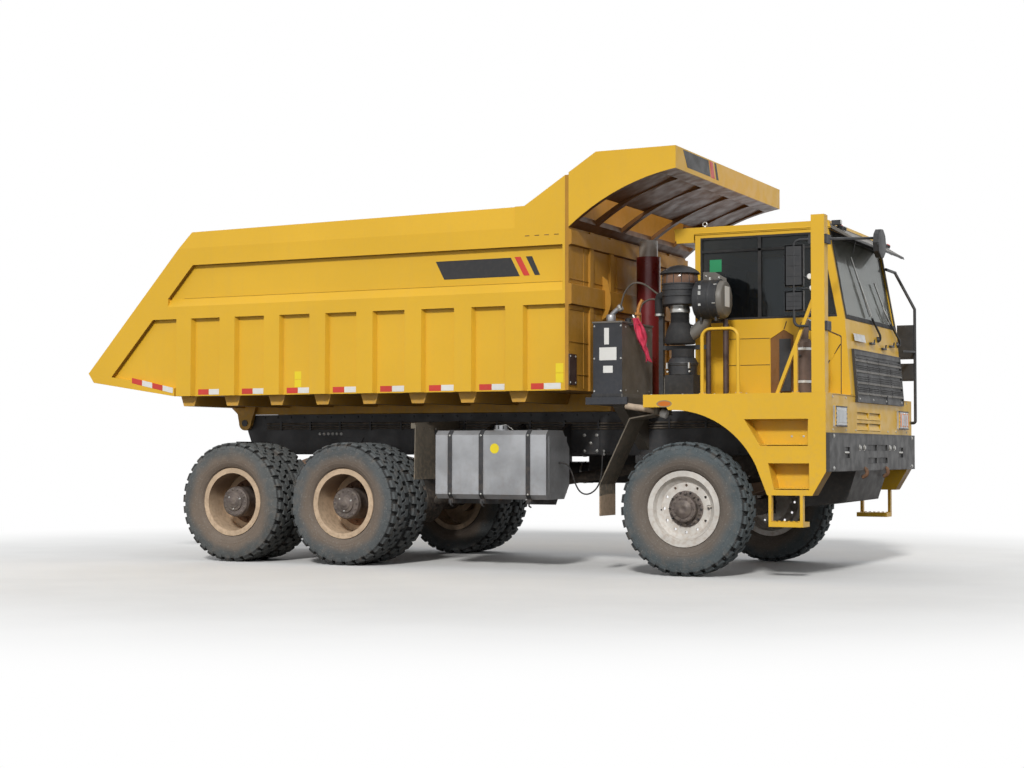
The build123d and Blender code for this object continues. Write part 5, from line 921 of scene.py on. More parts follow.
# Cab side: window seals, dividers, panel seams, a dark plate painted as the shadow in a service recess, and
# the recess's pipework
SEAM_Y = CAB_RIGHT - 2
piece = Piece(
    "cab_side_trim", "root",
    ["rubber", "yellow", "post", "green", "steel", "black", "exhaust", "white", "recess_shadow"], bevel=0.0015
)
piece.ring([(-104, 2632), (1438, 2632), (1252, 3558), (-104, 3558)], 46, CAB_RIGHT + 1, -6, 0)
piece.ring(rect(-104, 2632, 500, 3558), 40, CAB_LEFT + 1, 6, 0)
piece.block((556, CAB_RIGHT, 2660), (592, -786, 3530), 0)
piece.block((556, CAB_RIGHT, 3372), (1262, -788, 3398), 0)
piece.block((-75, CAB_RIGHT, 3372), (556, -788, 3398), 0)
piece.plate(pane(17, 3170, 150, 3300, -781.5), 1.2, 3)
for z in (2180, 2457):
    piece.block((228, CAB_RIGHT - 3, z - 3), (684, CAB_RIGHT + 1, z + 3), 1)
    piece.block((228, CAB_RIGHT - 1.5, z - 9), (684, CAB_RIGHT + 0.5, z - 4), 2)
piece.block((216, CAB_RIGHT - 4, 1900), (228, CAB_RIGHT + 1, 2615), 1)
piece.block((229, CAB_RIGHT - 1.5, 1900), (235, CAB_RIGHT + 0.5, 2615), 2)
# painted shadow: flat dark brown plates on the wall stand for the shade inside the recess
for recess_shadow in ([(690, 1862), (940, 1862), (940, 2475), (838, 2537)], [(690, 1862), (838, 2537), (686, 2442)]):
    piece.plate([(x, CAB_RIGHT - 0.5, z) for x, z in recess_shadow], 1.5, 8)
piece.tube([(838, SEAM_Y, 2537), (866, SEAM_Y, 2623)], 5, 2, 6)
piece.tube([(690, SEAM_Y, 1862), (688, SEAM_Y, 2444), (838, SEAM_Y, 2539), (940, SEAM_Y, 2477)], 5, 1, 6)
for route in (
    [(1269, SEAM_Y, 2530), (1446, SEAM_Y, 2451), (1443, SEAM_Y, 1856)],
    [(1437, SEAM_Y, 2369), (1371, SEAM_Y, 2271)],
    [(1323, SEAM_Y, 2208), (1286, SEAM_Y, 2144), (1289, SEAM_Y, 1890)],
):
    piece.tube(route, 6, 2, 6, bend=20)
piece.tube([(1330, CAB_RIGHT - 3, 1856), (1330, CAB_RIGHT - 3, 2190), (1402, CAB_RIGHT - 3, 2330)], 5, 1, 6)
piece.tube([(1452, SEAM_Y, 2449), (1449, SEAM_Y, 1856)], 4, 1, 6)
for x in (-36, 1180):
    piece.lathe([(0, 0), (0, 24), (8, 24), (12, 14), (30, 12), (30, 0)], (x, -780, 3640), UP, 4, 20)
    eye = circle(16, 24)
    piece.tube([(x + across, -780, 3684 + up) for across, up in [*eye, eye[0]]], 6, 4, 10)
for z in (2010, 2330):
    piece.tube([(1060, CAB_RIGHT, z), (1060, -905, z)], 14, 5, 10)
piece.block((1040, -930, DECK_TOP), (1080, -905, 2440), 5)
piece.block((886, -1112, 1884), (1008, -1100, 2420), 5)
for z in (1960, 2290):
    piece.lathe(collar(0, 26, 101, 98), (1168, -1200, z), UP, 4, 40)
piece.tube(
    [(1168, -1200, 2380), (1168, -1200, 2470), (1168, -1160, 2540), (1168, -1060, 2560)], 52, 6, 20, bend=70
)
piece.lathe([(0, 44), (0, 56), (10, 60), (16, 60), (16, 44)], (1168, -1070, 2560), TO_LEFT, 4, 32)
piece.tube([(1140, -1296, 2230), (1175, -1300, 2230)], 12, 5, 8)
piece.done()

# Cab front and roof: the windscreen's seal, drip rails, rear bracket, visor brackets and lamps
SCREEN_FOOT_X, SCREEN_FOOT_Z, SCREEN_LEAN = 1484, 2616, 0.18029


def screen_x(z):
    return SCREEN_FOOT_X - (z - SCREEN_FOOT_Z) * SCREEN_LEAN


piece = Piece(
    "cab_roof_trim", "root", ["rubber", "yellow", "black", "red", "steel", "white", "orange", "mirror"],
    bevel=0.0015
)
outer = [(screen_x(z) + 1, y, z) for y, z in ((-762, 2634), (1262, 2634), (1262, 3552), (-762, 3552))]
inner = [(screen_x(z) + 1, y, z) for y, z in ((-716, 2680), (1216, 2680), (1216, 3508), (-716, 3508))]
piece.plate(outer, 6, 0, inner)
piece.tube([(-150, CAB_RIGHT - 6, 3585), (1338, CAB_RIGHT - 6, 3585)], 9, 1, 8)
piece.tube([(-150, CAB_LEFT + 6, 3585), (1338, CAB_LEFT + 6, 3585)], 9, 1, 8)
piece.block((-370, CAB_RIGHT, 3520), (-150, -770, 3640), 1)
for y in (-790, 1290):
    piece.bolt((-260, y, 3650), UP, 18, 12, 2)
piece.lathe(collar(0, 4, 26), (-262, -803, 3556), TO_RIGHT, 2, 6)
for y in (-762, -350, 250, 850, 1262):
    piece.prism([(1344, 3592), (1560, 3458), (1552, 3440), (1340, 3560)], "y", y - 6, y + 6, 2)
for x0, z0, x1, z1, thick in ((1336, 3613, 1352, 3603, 5), (1566, 3466, 1578, 3438, 6)):
    piece.plate([(x0, CAB_RIGHT, z0), (x0, CAB_LEFT, z0), (x1, CAB_LEFT, z1), (x1, CAB_RIGHT, z1)], thick, 2)
for y, finish in ((-690, 3), (-560, 5), (1080, 5), (1210, 3)):
    piece.lathe([(0, 0), (0, 34), (26, 34), (34, 24), (34, 0)], (1400, y, 3572), (0.45, 0, 0.9), 2, 24)
    lamp = [(0, 0), (0, 27), (5, 25), (8, 12), (8, 0)]
    piece.lathe(lamp, (1415.5, y, 3602.8), (0.45, 0, 0.9), finish, 24)
piece.block((1346, -792, 3600), (1440, -742, 3648), 2)
piece.block((1440, -788, 3606), (1446, -746, 3642), 4)
piece.block((1352, -740, 3608), (1400, -724, 3640), 3)
piece.tube([(1560, -640, 3452), (1500, -500, 3400), (1490, -500, 3330)], 6, 2, 8)
piece.done()

# Front: wipers, blank plate, grille blocks, louvre slats, lamps, bumper hardware
piece = Piece("wipers", "root", ["black", "rubber", "steel"], bevel=0.001)
for pivot, joint, tip in (((420, 2482), (210, 2700), (-150, 3330)), ((1262, 2470), (985, 2690), (640, 3120))):
    base = screen_x(2480) + 6
    points = [
        (base + 12, *pivot), (base + 22, pivot[0] - 30, pivot[1] + 40), (screen_x(joint[1]) + 26, *joint)
    ]
    piece.lathe([(0, 0), (0, 32), (14, 30), (34, 20), (34, 0)], (base - 18, *pivot), (1, 0, 0.2), 0, 20)
    piece.tube(points, 13, 0, 8, bend=40)
    piece.tube(
        [points[-1], (screen_x(tip[1] - 260) + 20, joint[0] + (tip[0] - joint[0]) * 0.62, tip[1] - 260)], 6,
        2, 8
    )
    start = (joint[0] - 20, joint[1] + 20)
    for lift, width, finish in ((14, 6, 2), (7, 4, 1)):
        piece.tube([(screen_x(z) + lift, y, z) for y, z in (start, tip)], width, finish, 6)
for y, z in ((137, 2424), (960, 2438), (615, 2392)):
    piece.block((1500, y - 70, z - 10), (1530, y + 70, z + 10), 0)
    piece.tube([(1520, y + 55, z), (1520, y + 80, z + 45)], 9, 0, 8)
piece.done()

piece = Piece("front_plate", "root", ["steel", "white"], bevel=0.001)
low_x, high_x = screen_x(2410) + 1, screen_x(2490) + 1
piece.plate([(low_x, -574, 2416), (low_x, -148, 2416), (high_x, -148, 2494), (high_x, -574, 2494)], 3, 0)
for y in (-556, -166):
    piece.bolt((screen_x(2452) + 3, y, 2455), (1, 0, 0.18), 7, 5, 0)
piece.done()


GRILLE_FACE, GRILLE_BEND_Z = 1569, 1850


def grille_x(z):
    return GRILLE_FACE - max(0, z - GRILLE_BEND_Z) * 38 / 480


piece = Piece("grille_blocks", "root", ["bumper", "grey", "black", "steel"], bevel=0.0015)
columns = [(-630, -212), (-188, 258), (282, 728), (752, 1230)]
rows = [(1862, 1950), (1972, 2070), (2092, 2180), (2202, 2252)]
for y0, y1 in columns:
    for z0, z1 in rows:
        a, b = grille_x(z0), grille_x(z1)
        piece.plate([(a, y0, z0), (a, y1, z0), (a, y1, z0 + 20), (a, y0, z0 + 20)], 7, 1)
        slats = 3 if z1 - z0 > 60 else 1
        for k in range(slats):
            z = z0 + 32 + (z1 - z0 - 34) * k / slats
            x = grille_x(z)
            piece.prism([(x - 1, z), (x + 8, z + 4), (x + 9, z + 8), (x - 1, z + 17)], "y", y0 + 8, y1 - 8, 0)
for z in (1786, 2324):
    piece.block((grille_x(z) - 1, -648, z - 5), (grille_x(z) + 5, 1248, z + 5), 2)
for y in (-645, 1245):
    for low, high in ((1790, 1850), (1850, 2320)):
        a, b = grille_x(low), grille_x(high)
        piece.plate([(a, y - 5, low), (a, y + 5, low), (b, y + 5, high), (b, y - 5, high)], 5, 2)
for y in (-560, -30, 500, 1160):
    piece.bolt((grille_x(1815), y, 1815), AHEAD, 9, 7, 3)
piece.tube([(1574, 520, 1880), (1574, 520, 1780)], 9, 2, 10)
piece.done()

piece = Piece("front_panel_trim", "root", ["yellow", "black", "rust", "steel"], bevel=0.0015)
for y in (-363, 117):
    for z in (1525.5, 1637.5):
        y0, y1, top, foot = y - 214, y + 214, z + 36, z - 34
        piece.plate([(1524, y0, top), (1524, y1, top), (1546, y1, foot), (1546, y0, foot)], 5, 0)
        piece.block((1521, y - 218, z + 20), (1524, y + 218, z + 38), 1)
for side in (RIGHT, LEFT):
    for z in (1490, 1815):
        for y in (640, 1000, 1470):
            piece.bolt((1544, side * y, z), AHEAD, 9, 7, 3)
piece.tube([(1546, -1496, 1842), (1546, 1496, 1842)], 5, 0, 8)
piece.done()

LAMP_Y, LAMP_HALF, LAMP_FACE, LAMP_LOW, LAMP_HIGH = 1250, 205, 1566, 1520, 1724
LAMP_RIBS, LAMP_RIB_PITCH = 15, 20
piece = Piece("headlamp_trim", "root", ["yellow", "lens", "black", "orange", "steel", "mirror"], bevel=0.0015)
for side in (RIGHT, LEFT):
    lamp = side * LAMP_Y
    for y0, y1 in ((-LAMP_HALF, -176), (176, LAMP_HALF)):
        piece.block((LAMP_FACE, lamp + y0, LAMP_LOW), (LAMP_FACE + 7, lamp + y1, LAMP_HIGH), 0)
        for k in range(4):
            z = 1552 + 44 * k
            piece.block((1573, lamp + y0 + 5, z), (1574.5, lamp + y1 - 5, z + 18), 2)
    for low, high in ((LAMP_HIGH - 18, LAMP_HIGH), (LAMP_LOW, LAMP_LOW + 16)):
        piece.block((LAMP_FACE, lamp - LAMP_HALF, low), (LAMP_FACE + 8, lamp + LAMP_HALF, high), 2)
    piece.block((1574, lamp - 172, 1540), (1577.5, lamp + 172, 1704), 1)
    piece.block((1576, lamp - 150, 1556), (1579, lamp + 150, 1688), 4)
    for k in range(LAMP_RIBS):
        y = lamp - 140 + LAMP_RIB_PITCH * k
        piece.tube([(1579, y, 1560), (1579, y, 1684)], 5, 1, 6)
    if side == LEFT:
        for y in (-168, -60, 40, 150):
            piece.block((1578, lamp + y, 1546), (1584, lamp + y + 22, 1698), 3)
    else:
        piece.block((1577, lamp - 171, 1546), (1581, lamp - 152, 1698), 1)
piece.done()

BUMPER_FACE, BUMPER_RECESS = 1581, 1563
piece = Piece("bumper_trim", "root", ["steel", "black", "rust", "bumper"], bevel=0.0015)
for y in (-623, -452, 577, 768):
    piece.bolt((BUMPER_FACE, y, 1312), AHEAD, 24, 16, 0)
for y in (-135, 295):
    for z in (1312.5, 1177.5):
        piece.block((BUMPER_RECESS, y - 190, z - 30), (BUMPER_RECESS + 3, y + 190, z + 30), 1)
for side in (RIGHT, LEFT):
    y = side * 1078
    piece.block((BUMPER_RECESS, y - 90, 1207), (BUMPER_RECESS + 3, y + 90, 1317), 1)
    piece.tube(
        [(1566, y - 50, 1262), (1580, y - 40, 1262), (1580, y + 40, 1262), (1566, y + 50, 1262)], 12, 0, 10,
        bend=12
    )
    loop = ((1555, 1110), (1600, 1085), (1600, 1030), (1550, 1005))
    piece.tube([(x, side * 420, z) for x, z in loop], 20, 2, 12, bend=26)
    for z in (1110, 1425):
        piece.bolt((BUMPER_FACE, side * 1560, z), AHEAD, 16, 11, 0)
    for k in range(3):
        piece.bolt((1200 + 120 * k, side * 1698, 1420), (0, side, 0), 12, 2, 0, washer=False)
for z in (1084, 1448):
    piece.block((BUMPER_FACE, -1696, z - 3), (BUMPER_FACE + 2, 1696, z + 3), 3)
piece.done()

# Decks: tread bars, step grips, weld beads, the feet of the rails and bolts
BESIDE_CLEANER = 1500
for side, word in SIDES:
    piece = Piece(f"deck_trim_{word}", "root", ["yellow", "black", "steel", "post", "orange"], bevel=0)
    inner = 820 if side == RIGHT else 1320
    for k in range(30):
        x = -340 + 62 * k
        low = BESIDE_CLEANER if side == RIGHT and x < 560 else inner
        for j in range(int((1690 - low) / 44)):
            y = low + 22 + 44 * j
            tilt = 9 if (k + j) % 2 else -9
            near, far = side * y - tilt, side * y + tilt
            corners = ((x - 13, near - 2), (x + 13, far - 2), (x + 13, far + 2), (x - 13, near + 2))
            piece.plate([(*corner, DECK_TOP) for corner in corners], 2, 0)
    for x0, x1, z in ((890, 1356, 1335), (1026, 1369, 905)):
        piece.block((x0, side * 1530, z - 4), (x1, side * 1696, z + 4), 0)
        for k in range(int((x1 - x0 - 40) / 46)):
            x = x0 + 40 + 46 * k
            piece.lathe([(0, 8), (0, 15), (6, 15), (9, 10), (9, 8)], (x, side * 1620, z + 4), UP, 0, 14)
        piece.tube([(x0, side * 1698, z + 2), (x1, side * 1698, z + 2)], 5, 0, 8)
    for k in range(7):
        x = 985 + 50 * k
        piece.lathe([(0, 7), (0, 14), (6, 14), (8, 9), (8, 7)], (x, side * 1594, 580), UP, 0, 14)
    if side == RIGHT:
        for x in (260, 640, 1228):
            piece.lathe(collar(0, 8, 40), (x, -1660, DECK_TOP), UP, 0, 24)
            for across, back in circle(4, 30, 1.6 / pi):
                piece.bolt((x + across, -1660 + back, 1856), UP, 5, 5, 2)
    for x in (-300, 40, 380, 720, 1060, 1400):
        piece.bolt((x, side * 1650, DECK_TOP), UP, 8, 7, 2)
    piece.done()

# Mirrors: rims and slots on the shells, glass on the inner face, knobs, and the left pair's backs
piece = Piece("mirror_trim", "root", ["black", "mirror", "steel", "white"], bevel=0.0025)
for z0, z1 in ((2893, 3306), (2650, 2850)):
    piece.ring(rect(1134, z0 + 2, 1320, z1 - 2), 14, -1699, -4, 0)
    piece.plate(pane(1146, z0 + 14, 1308, z1 - 14, -1649), -2, 1)
    for k in range(3):
        z = z0 + (z1 - z0) * (k + 1) / 4
        piece.block((1160, -1702, z - 3), (1294, -1699, z + 3), 0)
for x, z in ((1378, 2985), (1403, 2871)):
    piece.lathe([(0, 0), (0, 26), (20, 30), (34, 24), (34, 0)], (x, -1663, z), (0.3, -1, 0), 3, 24)
    piece.tube([(x - 4, -1660, z), (1300, -1670, z)], 8, 0, 8)
piece.lathe(collar(-10, 4, 151, 140), (1844, -700, 3390), AHEAD, 0, 10)
piece.lathe([(0, 30), (0, 44), (10, 40), (10, 30)], (1800, -700, 3395), (-0.94, 0, -0.34), 0, 20)
for z0, z1 in ((2330, 2720), (2080, 2280)):
    piece.plate(pane(1404, z0 + 14, 1586, z1 - 14, 1689), -2, 0)
    piece.plate(pane(1410, z0 + 16, 1580, z1 - 16, 1639), 2, 0)
piece.tube([(1545, 1300, 2400), (1600, 1500, 2406), (1600, 1660, 2410)], 14, 0, 10)
piece.done()

# Air cleaner: rain cap, clear dust cup, ribbed drum, hose and boot, lower bowl, stand, canister
DRUM = (-100, -1350, 0)
piece = Piece(
    "air_cleaner_dressed", "root", ["black", "amber", "steel", "rubber", "grey", "white", "post"],
    bevel=0.0015
)
piece.lathe(
    [
        (3098, 0), (3098, 180), (3101, 205), (3108, 208), (3124, 196), (3152, 160), (3178, 108), (3194, 50),
        (3198, 0)
    ],
    DRUM, UP, 0, 64
)
piece.lathe([(3000, 0), (3000, 184), (3006, 187), (3092, 180), (3098, 176), (3098, 0)], DRUM, UP, 1, 64)
for low, high in zip(circle(14, 187, 0.5), circle(14, 181, 0.5)):
    foot = (DRUM[0] + low[0], DRUM[1] + low[1], 3002)
    piece.tube([foot, (DRUM[0] + high[0], DRUM[1] + high[1], 3098)], 4, 0, 6)
piece.lathe(
    [
        (2776, 0), (2776, 172), (2784, 184), (2798, 186), (2806, 182), (2862, 182), (2868, 189),
        (2882, 189), (2888, 183), (2926, 183), (2932, 189), (2946, 189), (2952, 184), (2984, 184),
        (2990, 191), (3002, 191), (3002, 0)
    ],
    DRUM, UP, 0, 64,
)
piece.lathe(
    [(2702, 0), (2702, 101), (2712, 104), (2744, 104), (2752, 100), (2776, 100), (2776, 0)], DRUM, UP, 2, 48
)
boot = [(2594, 0), (2594, 92)]
for k in range(8):
    z = 2598 + 13 * k
    boot += [(z, 92), (z + 3, 98), (z + 8, 98), (z + 11, 92)]
piece.lathe(boot + [(2704, 92), (2704, 0)], DRUM, UP, 3, 48)
piece.lathe(
    [(2378, 0), (2378, 150), (2392, 158), (2440, 158), (2520, 138), (2572, 112), (2598, 100), (2598, 0)],
    DRUM, UP, 3, 48
)
piece.tube(
    [(-20, -1350, 2440), (70, -1340, 2500), (150, -1330, 2590), (180, -1330, 2660)], 66, 4, 24, bend=60
)
piece.tube(
    [(-270, -1340, 2885), (-345, -1320, 2885), (-352, -1310, 2790), (-352, -1300, 2700)], 42, 3, 20, bend=60
)
piece.lathe(collar(2680, 2704, 46, 36), (-352, -1300, 0), UP, 2, 32)
piece.block((-366, -1277, DECK_TOP), (-318, -1226, 2862), 0)
piece.block((-318, -1272, 2326), (172, -1230, 2371), 0)
piece.block((-318, -1330, 2838), (-250, -1226, 2862), 4)
piece.prism([(-318, 1856), (-318, 2050), (-250, 1856)], "y", -1256, -1246, 4)
for x in (172, 360):
    piece.lathe(collar(DECK_TOP, 2630, 27), (x, -1250, 0), UP, 6, 20)
    piece.lathe(collar(DECK_TOP, 1856, 46), (x, -1250, 0), UP, 6, 24)
lid = (-70, -1350, 0)
piece.lathe(
    [
        (2168, 0), (2168, 160), (2172, 163), (2180, 162), (2194, 150), (2222, 138), (2236, 124), (2242, 90),
        (2242, 0)
    ],
    lid, UP, 0, 48
)
piece.lathe(collar(2240, 2326, 118), lid, UP, 3, 40)
piece.lathe(
    [(2054, 0), (2054, 140), (2060, 148), (2150, 152), (2156, 158), (2168, 158), (2168, 0)], lid, UP, 0, 48
)
for x in (-190, 50):
    piece.block((x - 8, -1500, 2120), (x + 8, -1470, 2180), 2)
    piece.lathe([(0, 0), (0, 12), (10, 10), (10, 0)], (x, -1476, 2090), TO_RIGHT, 2, 16)
piece.block((-214, -1490, DECK_TOP), (96, -1220, 2056), 3)
piece.block((-226, -1500, DECK_TOP), (106, -1210, 1862), 0)
can = (95, -1350, 2826)
piece.lathe(
    [
        (0, 0), (0, 188), (8, 199), (22, 203), (54, 203), (58, 206), (72, 206), (76, 203), (158, 203),
        (162, 206), (176, 206), (180, 203), (236, 203), (244, 206), (256, 206), (260, 198), (260, 0)
    ],
    can, AHEAD, 0, 56,
)
piece.lathe(
    [(258, 0), (258, 196), (296, 192), (312, 180), (322, 150), (324, 60), (318, 52), (318, 0)], can, AHEAD,
    4, 12
)
piece.plate([(420, -1440, 2745), (420, -1300, 2745), (420, -1300, 2955), (420, -1440, 2955)], 1.5, 5)
for y, z in circle(6, 202, 0.25):
    piece.tube([(318, can[1] + y, can[2] + z), (352, can[1] + y, can[2] + z)], 7, 2, 8)
for y, z in ((-1552, 2862), (-1540, 2920), (-1546, 2750)):
    piece.block((170, y, z), (196, y + 10, z + 40), 2)
for x in (150, 310):
    piece.block((x, -1440, 2600), (x + 22, -1260, 2650), 0)
piece.tube([(226, -1350, 3029), (226, -1350, 3055)], 16, 2, 12)
piece.prism(
    [(79, 3137), (210, 3128), (333, 3060), (355, 2770), (300, 2600), (79, 2600)], "y", -1150, -1143, 4
)
for x, z in ((110, 3090), (250, 3070), (320, 2980), (110, 2650)):
    piece.bolt((x, -1150, z), TO_RIGHT, 9, 7, 2)
piece.done("air_cleaner")

# Hydraulic cabinet: lid, base trim, blank labels, bolts, breathers, fittings and a handle
CABINET_FACE, CABINET_TOP = -1500, 2630
piece = Piece(
    "cabinet_trim", "root", ["black", "white", "grey", "steel", "sticker", "brass", "aluminium", "decal"],
    bevel=0.002
)
piece.block((-1024, -1508, 2612), (-680, -652, CABINET_TOP), 2)
piece.block((-1030, -1512, 1838), (-676, -1488, 1872), 0)
piece.block((-690, -1512, 1838), (-676, -650, 1872), 2)
for label in ((-890, 2387, -835, 2561), (-945, 2222, -750, 2357), (-902, 2090, -792, 2164)):
    piece.plate(pane(*label, CABINET_FACE - 0.5), 1.5, 1)
for x in (-1004, -702):
    for z in (1900, 2240, 2580):
        piece.bolt((x, CABINET_FACE, z), TO_RIGHT, 8, 6, 3)
for y in (-1400, -1080, -760):
    for z in (1910, 2570):
        piece.bolt((-688, y, z), AHEAD, 8, 6, 3)
piece.lathe(
    [(0, 0), (0, 46), (14, 50), (60, 50), (74, 44), (80, 24), (80, 0)], (-860, -1390, CABINET_TOP), UP, 6,
    32
)
piece.lathe([(0, 0), (0, 34), (40, 34), (52, 24), (52, 0)], (-760, -1160, CABINET_TOP), UP, 0, 28)
piece.tube(
    [(-900, -1300, CABINET_TOP), (-900, -1300, 2700), (-840, -1300, 2760), (-780, -1300, 2790)], 26, 6, 16,
    bend=40
)
piece.lathe(
    [(-6, 20), (-6, 38), (6, 42), (22, 42), (34, 36), (34, 20)], (-806, -1300, 2776), (0.9, 0, 0.45), 3, 8
)
piece.lathe(collar(0, 26, 36, 20), (-590, -1300, 2700), UP, 5, 6)
piece.tube(
    [(-590, -1300, 2620), (-590, -1300, 2760), (-560, -1300, 2830), (-540, -1300, 2858)], 19, 5, 16, bend=30
)
piece.tube([(-600, -1240, 2600), (-600, -1240, 2710)], 22, 5, 16)
piece.block((-686, -1320, 2590), (-560, -1220, 2606), 0)
piece.tube([(-640, -1270, 2606), (-640, -1270, 2668), (-660, -1270, 2700)], 16, 3, 12, bend=18)
piece.tube([(-688, -900, 2330), (-660, -900, 2330), (-660, -900, 2480), (-688, -900, 2480)], 7, 3, 8, bend=10)
piece.done()

# Seats: shells and rails, and pads swelled by a short cloth simulation
SEAT_X = 380
SEATS = ((-250, "right"), (750, "left"))
piece = Piece("seat_shells", "root", ["seat_shell", "black", "steel", "rubber"], bevel=0.004)
for y, _ in SEATS:
    piece.block((SEAT_X - 220, y - 220, 1900), (SEAT_X + 200, y + 220, 1925), 2)
    for k in range(7):
        z = 1935 + 38 * k
        fold = 6 * (k % 2)
        low = (SEAT_X - 190 + fold, y - 190 + fold, z)
        piece.block(low, (SEAT_X + 175 - fold, y + 190 - fold, z + 30), 3)
    piece.prism(
        [(SEAT_X - 270, 2205), (SEAT_X + 235, 2205), (SEAT_X + 262, 2350), (SEAT_X - 290, 2350)], "y",
        y - 242, y + 242, 0
    )
    piece.prism(
        [(SEAT_X - 296, 2350), (SEAT_X - 250, 2350), (SEAT_X - 344, 3010), (SEAT_X - 374, 3010)], "y",
        y - 232, y + 232, 0
    )
    for side in (RIGHT, LEFT):
        piece.tube(
            [
                (SEAT_X - 290, y + side * 252, 2560), (SEAT_X - 60, y + side * 254, 2600),
                (SEAT_X + 60, y + side * 254, 2598)
            ],
            5, 2, 8
        )
        piece.lathe(collar(0, 8, 38), (SEAT_X - 270, y + side * 244, 2400), (0, side, 0), 1, 24)
        piece.tube([(SEAT_X - 352, y + side * 70, 2990), (SEAT_X - 358, y + side * 70, 3080)], 7, 2, 10)
    piece.tube([(SEAT_X + 150, y + 246, 2290), (SEAT_X + 215, y + 258, 2290)], 9, 1, 10)
piece.done("seats")


PAD_VOXEL, SWELL_LIMIT, SWELL_FRAMES = 0.014, 0.022, 20
SEAM_HALF, SEAM_DEPTH = 0.012, 0.007


def pad_mesh(name, outline, half, round_by):
    """A rounded block across y, remeshed and swelled by air pressure."""
    mesh = bpy.data.meshes.new(name)
    shape = bmesh.new()
    rings = [[shape.verts.new(at(x, y, z)) for x, z in outline] for y in (-half, half)]
    count = len(outline)
    shape.faces.new(rings[0])
    shape.faces.new(rings[1][::-1])
    for i in range(count):
        j = (i + 1) % count
        shape.faces.new((rings[0][j], rings[0][i], rings[1][i], rings[1][j]))
    bmesh.ops.recalc_face_normals(shape, faces=shape.faces)
    bmesh.ops.bevel(shape, geom=list(shape.edges), offset=round_by / 1000, segments=3, affect="EDGES")
    shape.to_mesh(mesh)
    shape.free()
    work = placed(name, mesh)
    remesh = work.modifiers.new("remesh", "REMESH")
    remesh.mode = "VOXEL"
    remesh.voxel_size = PAD_VOXEL
    flat = bpy.data.meshes.new_from_object(work.evaluated_get(bpy.context.evaluated_depsgraph_get()))
    work.modifiers.clear()
    work.data = flat
    rest = [v.co.copy() for v in flat.vertices]
    cloth = work.modifiers.new("swell", "CLOTH")
    cloth.settings.use_pressure = True
    cloth.settings.uniform_pressure_force = 4
    cloth.settings.effector_weights.gravity = 0
    cloth.settings.quality = 5
    cloth.collision_settings.use_collision = False
    cloth.point_cache.frame_end = SWELL_FRAMES
    for frame_number in range(1, SWELL_FRAMES + 1):
        bpy.context.scene.frame_set(frame_number)
    swelled = work.evaluated_get(bpy.context.evaluated_depsgraph_get()).data
    moved = [v.co.copy() for v in swelled.vertices]
    work.modifiers.clear()
    for vert, before, after in zip(flat.vertices, rest, moved):
        step = after - before
        vert.co = before + step * min(1, SWELL_LIMIT / max(step.length, 1e-6))
    bpy.context.scene.frame_set(1)
    bpy.data.objects.remove(work)
    return flat


def sewn(mesh, lines):
    """Channels sewn into a pad: lines are (axis, place in metres)."""
    mesh.update()
    normals = [v.normal.copy() for v in mesh.vertices]
    for axis, place in lines:
        for vert, normal in zip(mesh.vertices, normals):
            gap = abs(vert.co[axis] - place) / SEAM_HALF
            if gap < 1 and abs(normal[axis]) < 0.6:
                vert.co -= normal * SEAM_DEPTH * (1 - gap) ** 2


pads = {
    "cushion": (
        [(-205, 2362), (258, 2362), (270, 2452), (-190, 2442)], 226, 26, "cloth", [(1, -0.13), (1, 0.13)]
    ),
    "back": (
        [(-206, 2470), (-278, 3020), (-334, 3020), (-262, 2470)], 214, 24, "cloth",
        [(1, -0.12), (1, 0.12), (2, 2.72)]
    ),
    "headrest": (
        [(-286, 3052), (-300, 3196), (-368, 3196), (-352, 3052)], 142, 26, "pale_cloth", [(2, 3.12)]
    ),
}
for name, (outline, half, round_by, finish, lines) in pads.items():
    flat = pad_mesh(f"seat_{name}", [(SEAT_X + x, z) for x, z in outline], half, round_by)
    sewn(flat, lines)
    flat.materials.clear()
    flat.materials.append(MATERIALS[finish])
    for y, word in SEATS:
        mesh = flat.copy()
        mesh.transform(Matrix.Translation((0, y / 1000, 0)))
        mesh.shade_smooth()
        pad = placed(f"seat_{name}_{word}", mesh)
        smooth = pad.modifiers.new("smooth", "SUBSURF")
        smooth.levels = smooth.render_levels = 1
        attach(pad, "root")

piece = Piece("seat_piping", "root", ["rubber", "black", "red"], bevel=0)
for y, _ in SEATS:
    for side in (RIGHT, LEFT):
        piece.tube(
            [
                (SEAT_X - 185, y + side * 232, 2446), (SEAT_X + 262, y + side * 232, 2456),
                (SEAT_X + 276, y + side * 200, 2430)
            ],
            4, 0, 6, bend=12
        )
        piece.tube([(SEAT_X - 204, y + side * 220, 2490), (SEAT_X - 272, y + side * 220, 3010)], 4, 0, 6)
    piece.plate(
        [
            (SEAT_X - 190, y - 60, 2462), (SEAT_X + 180, y - 20, 2474), (SEAT_X + 180, y + 22, 2474),
            (SEAT_X - 190, y - 16, 2462)
        ],
        3, 1
    )
    piece.block((SEAT_X - 150, y + 236, 2452), (SEAT_X - 110, y + 256, 2510), 2)
piece.done()

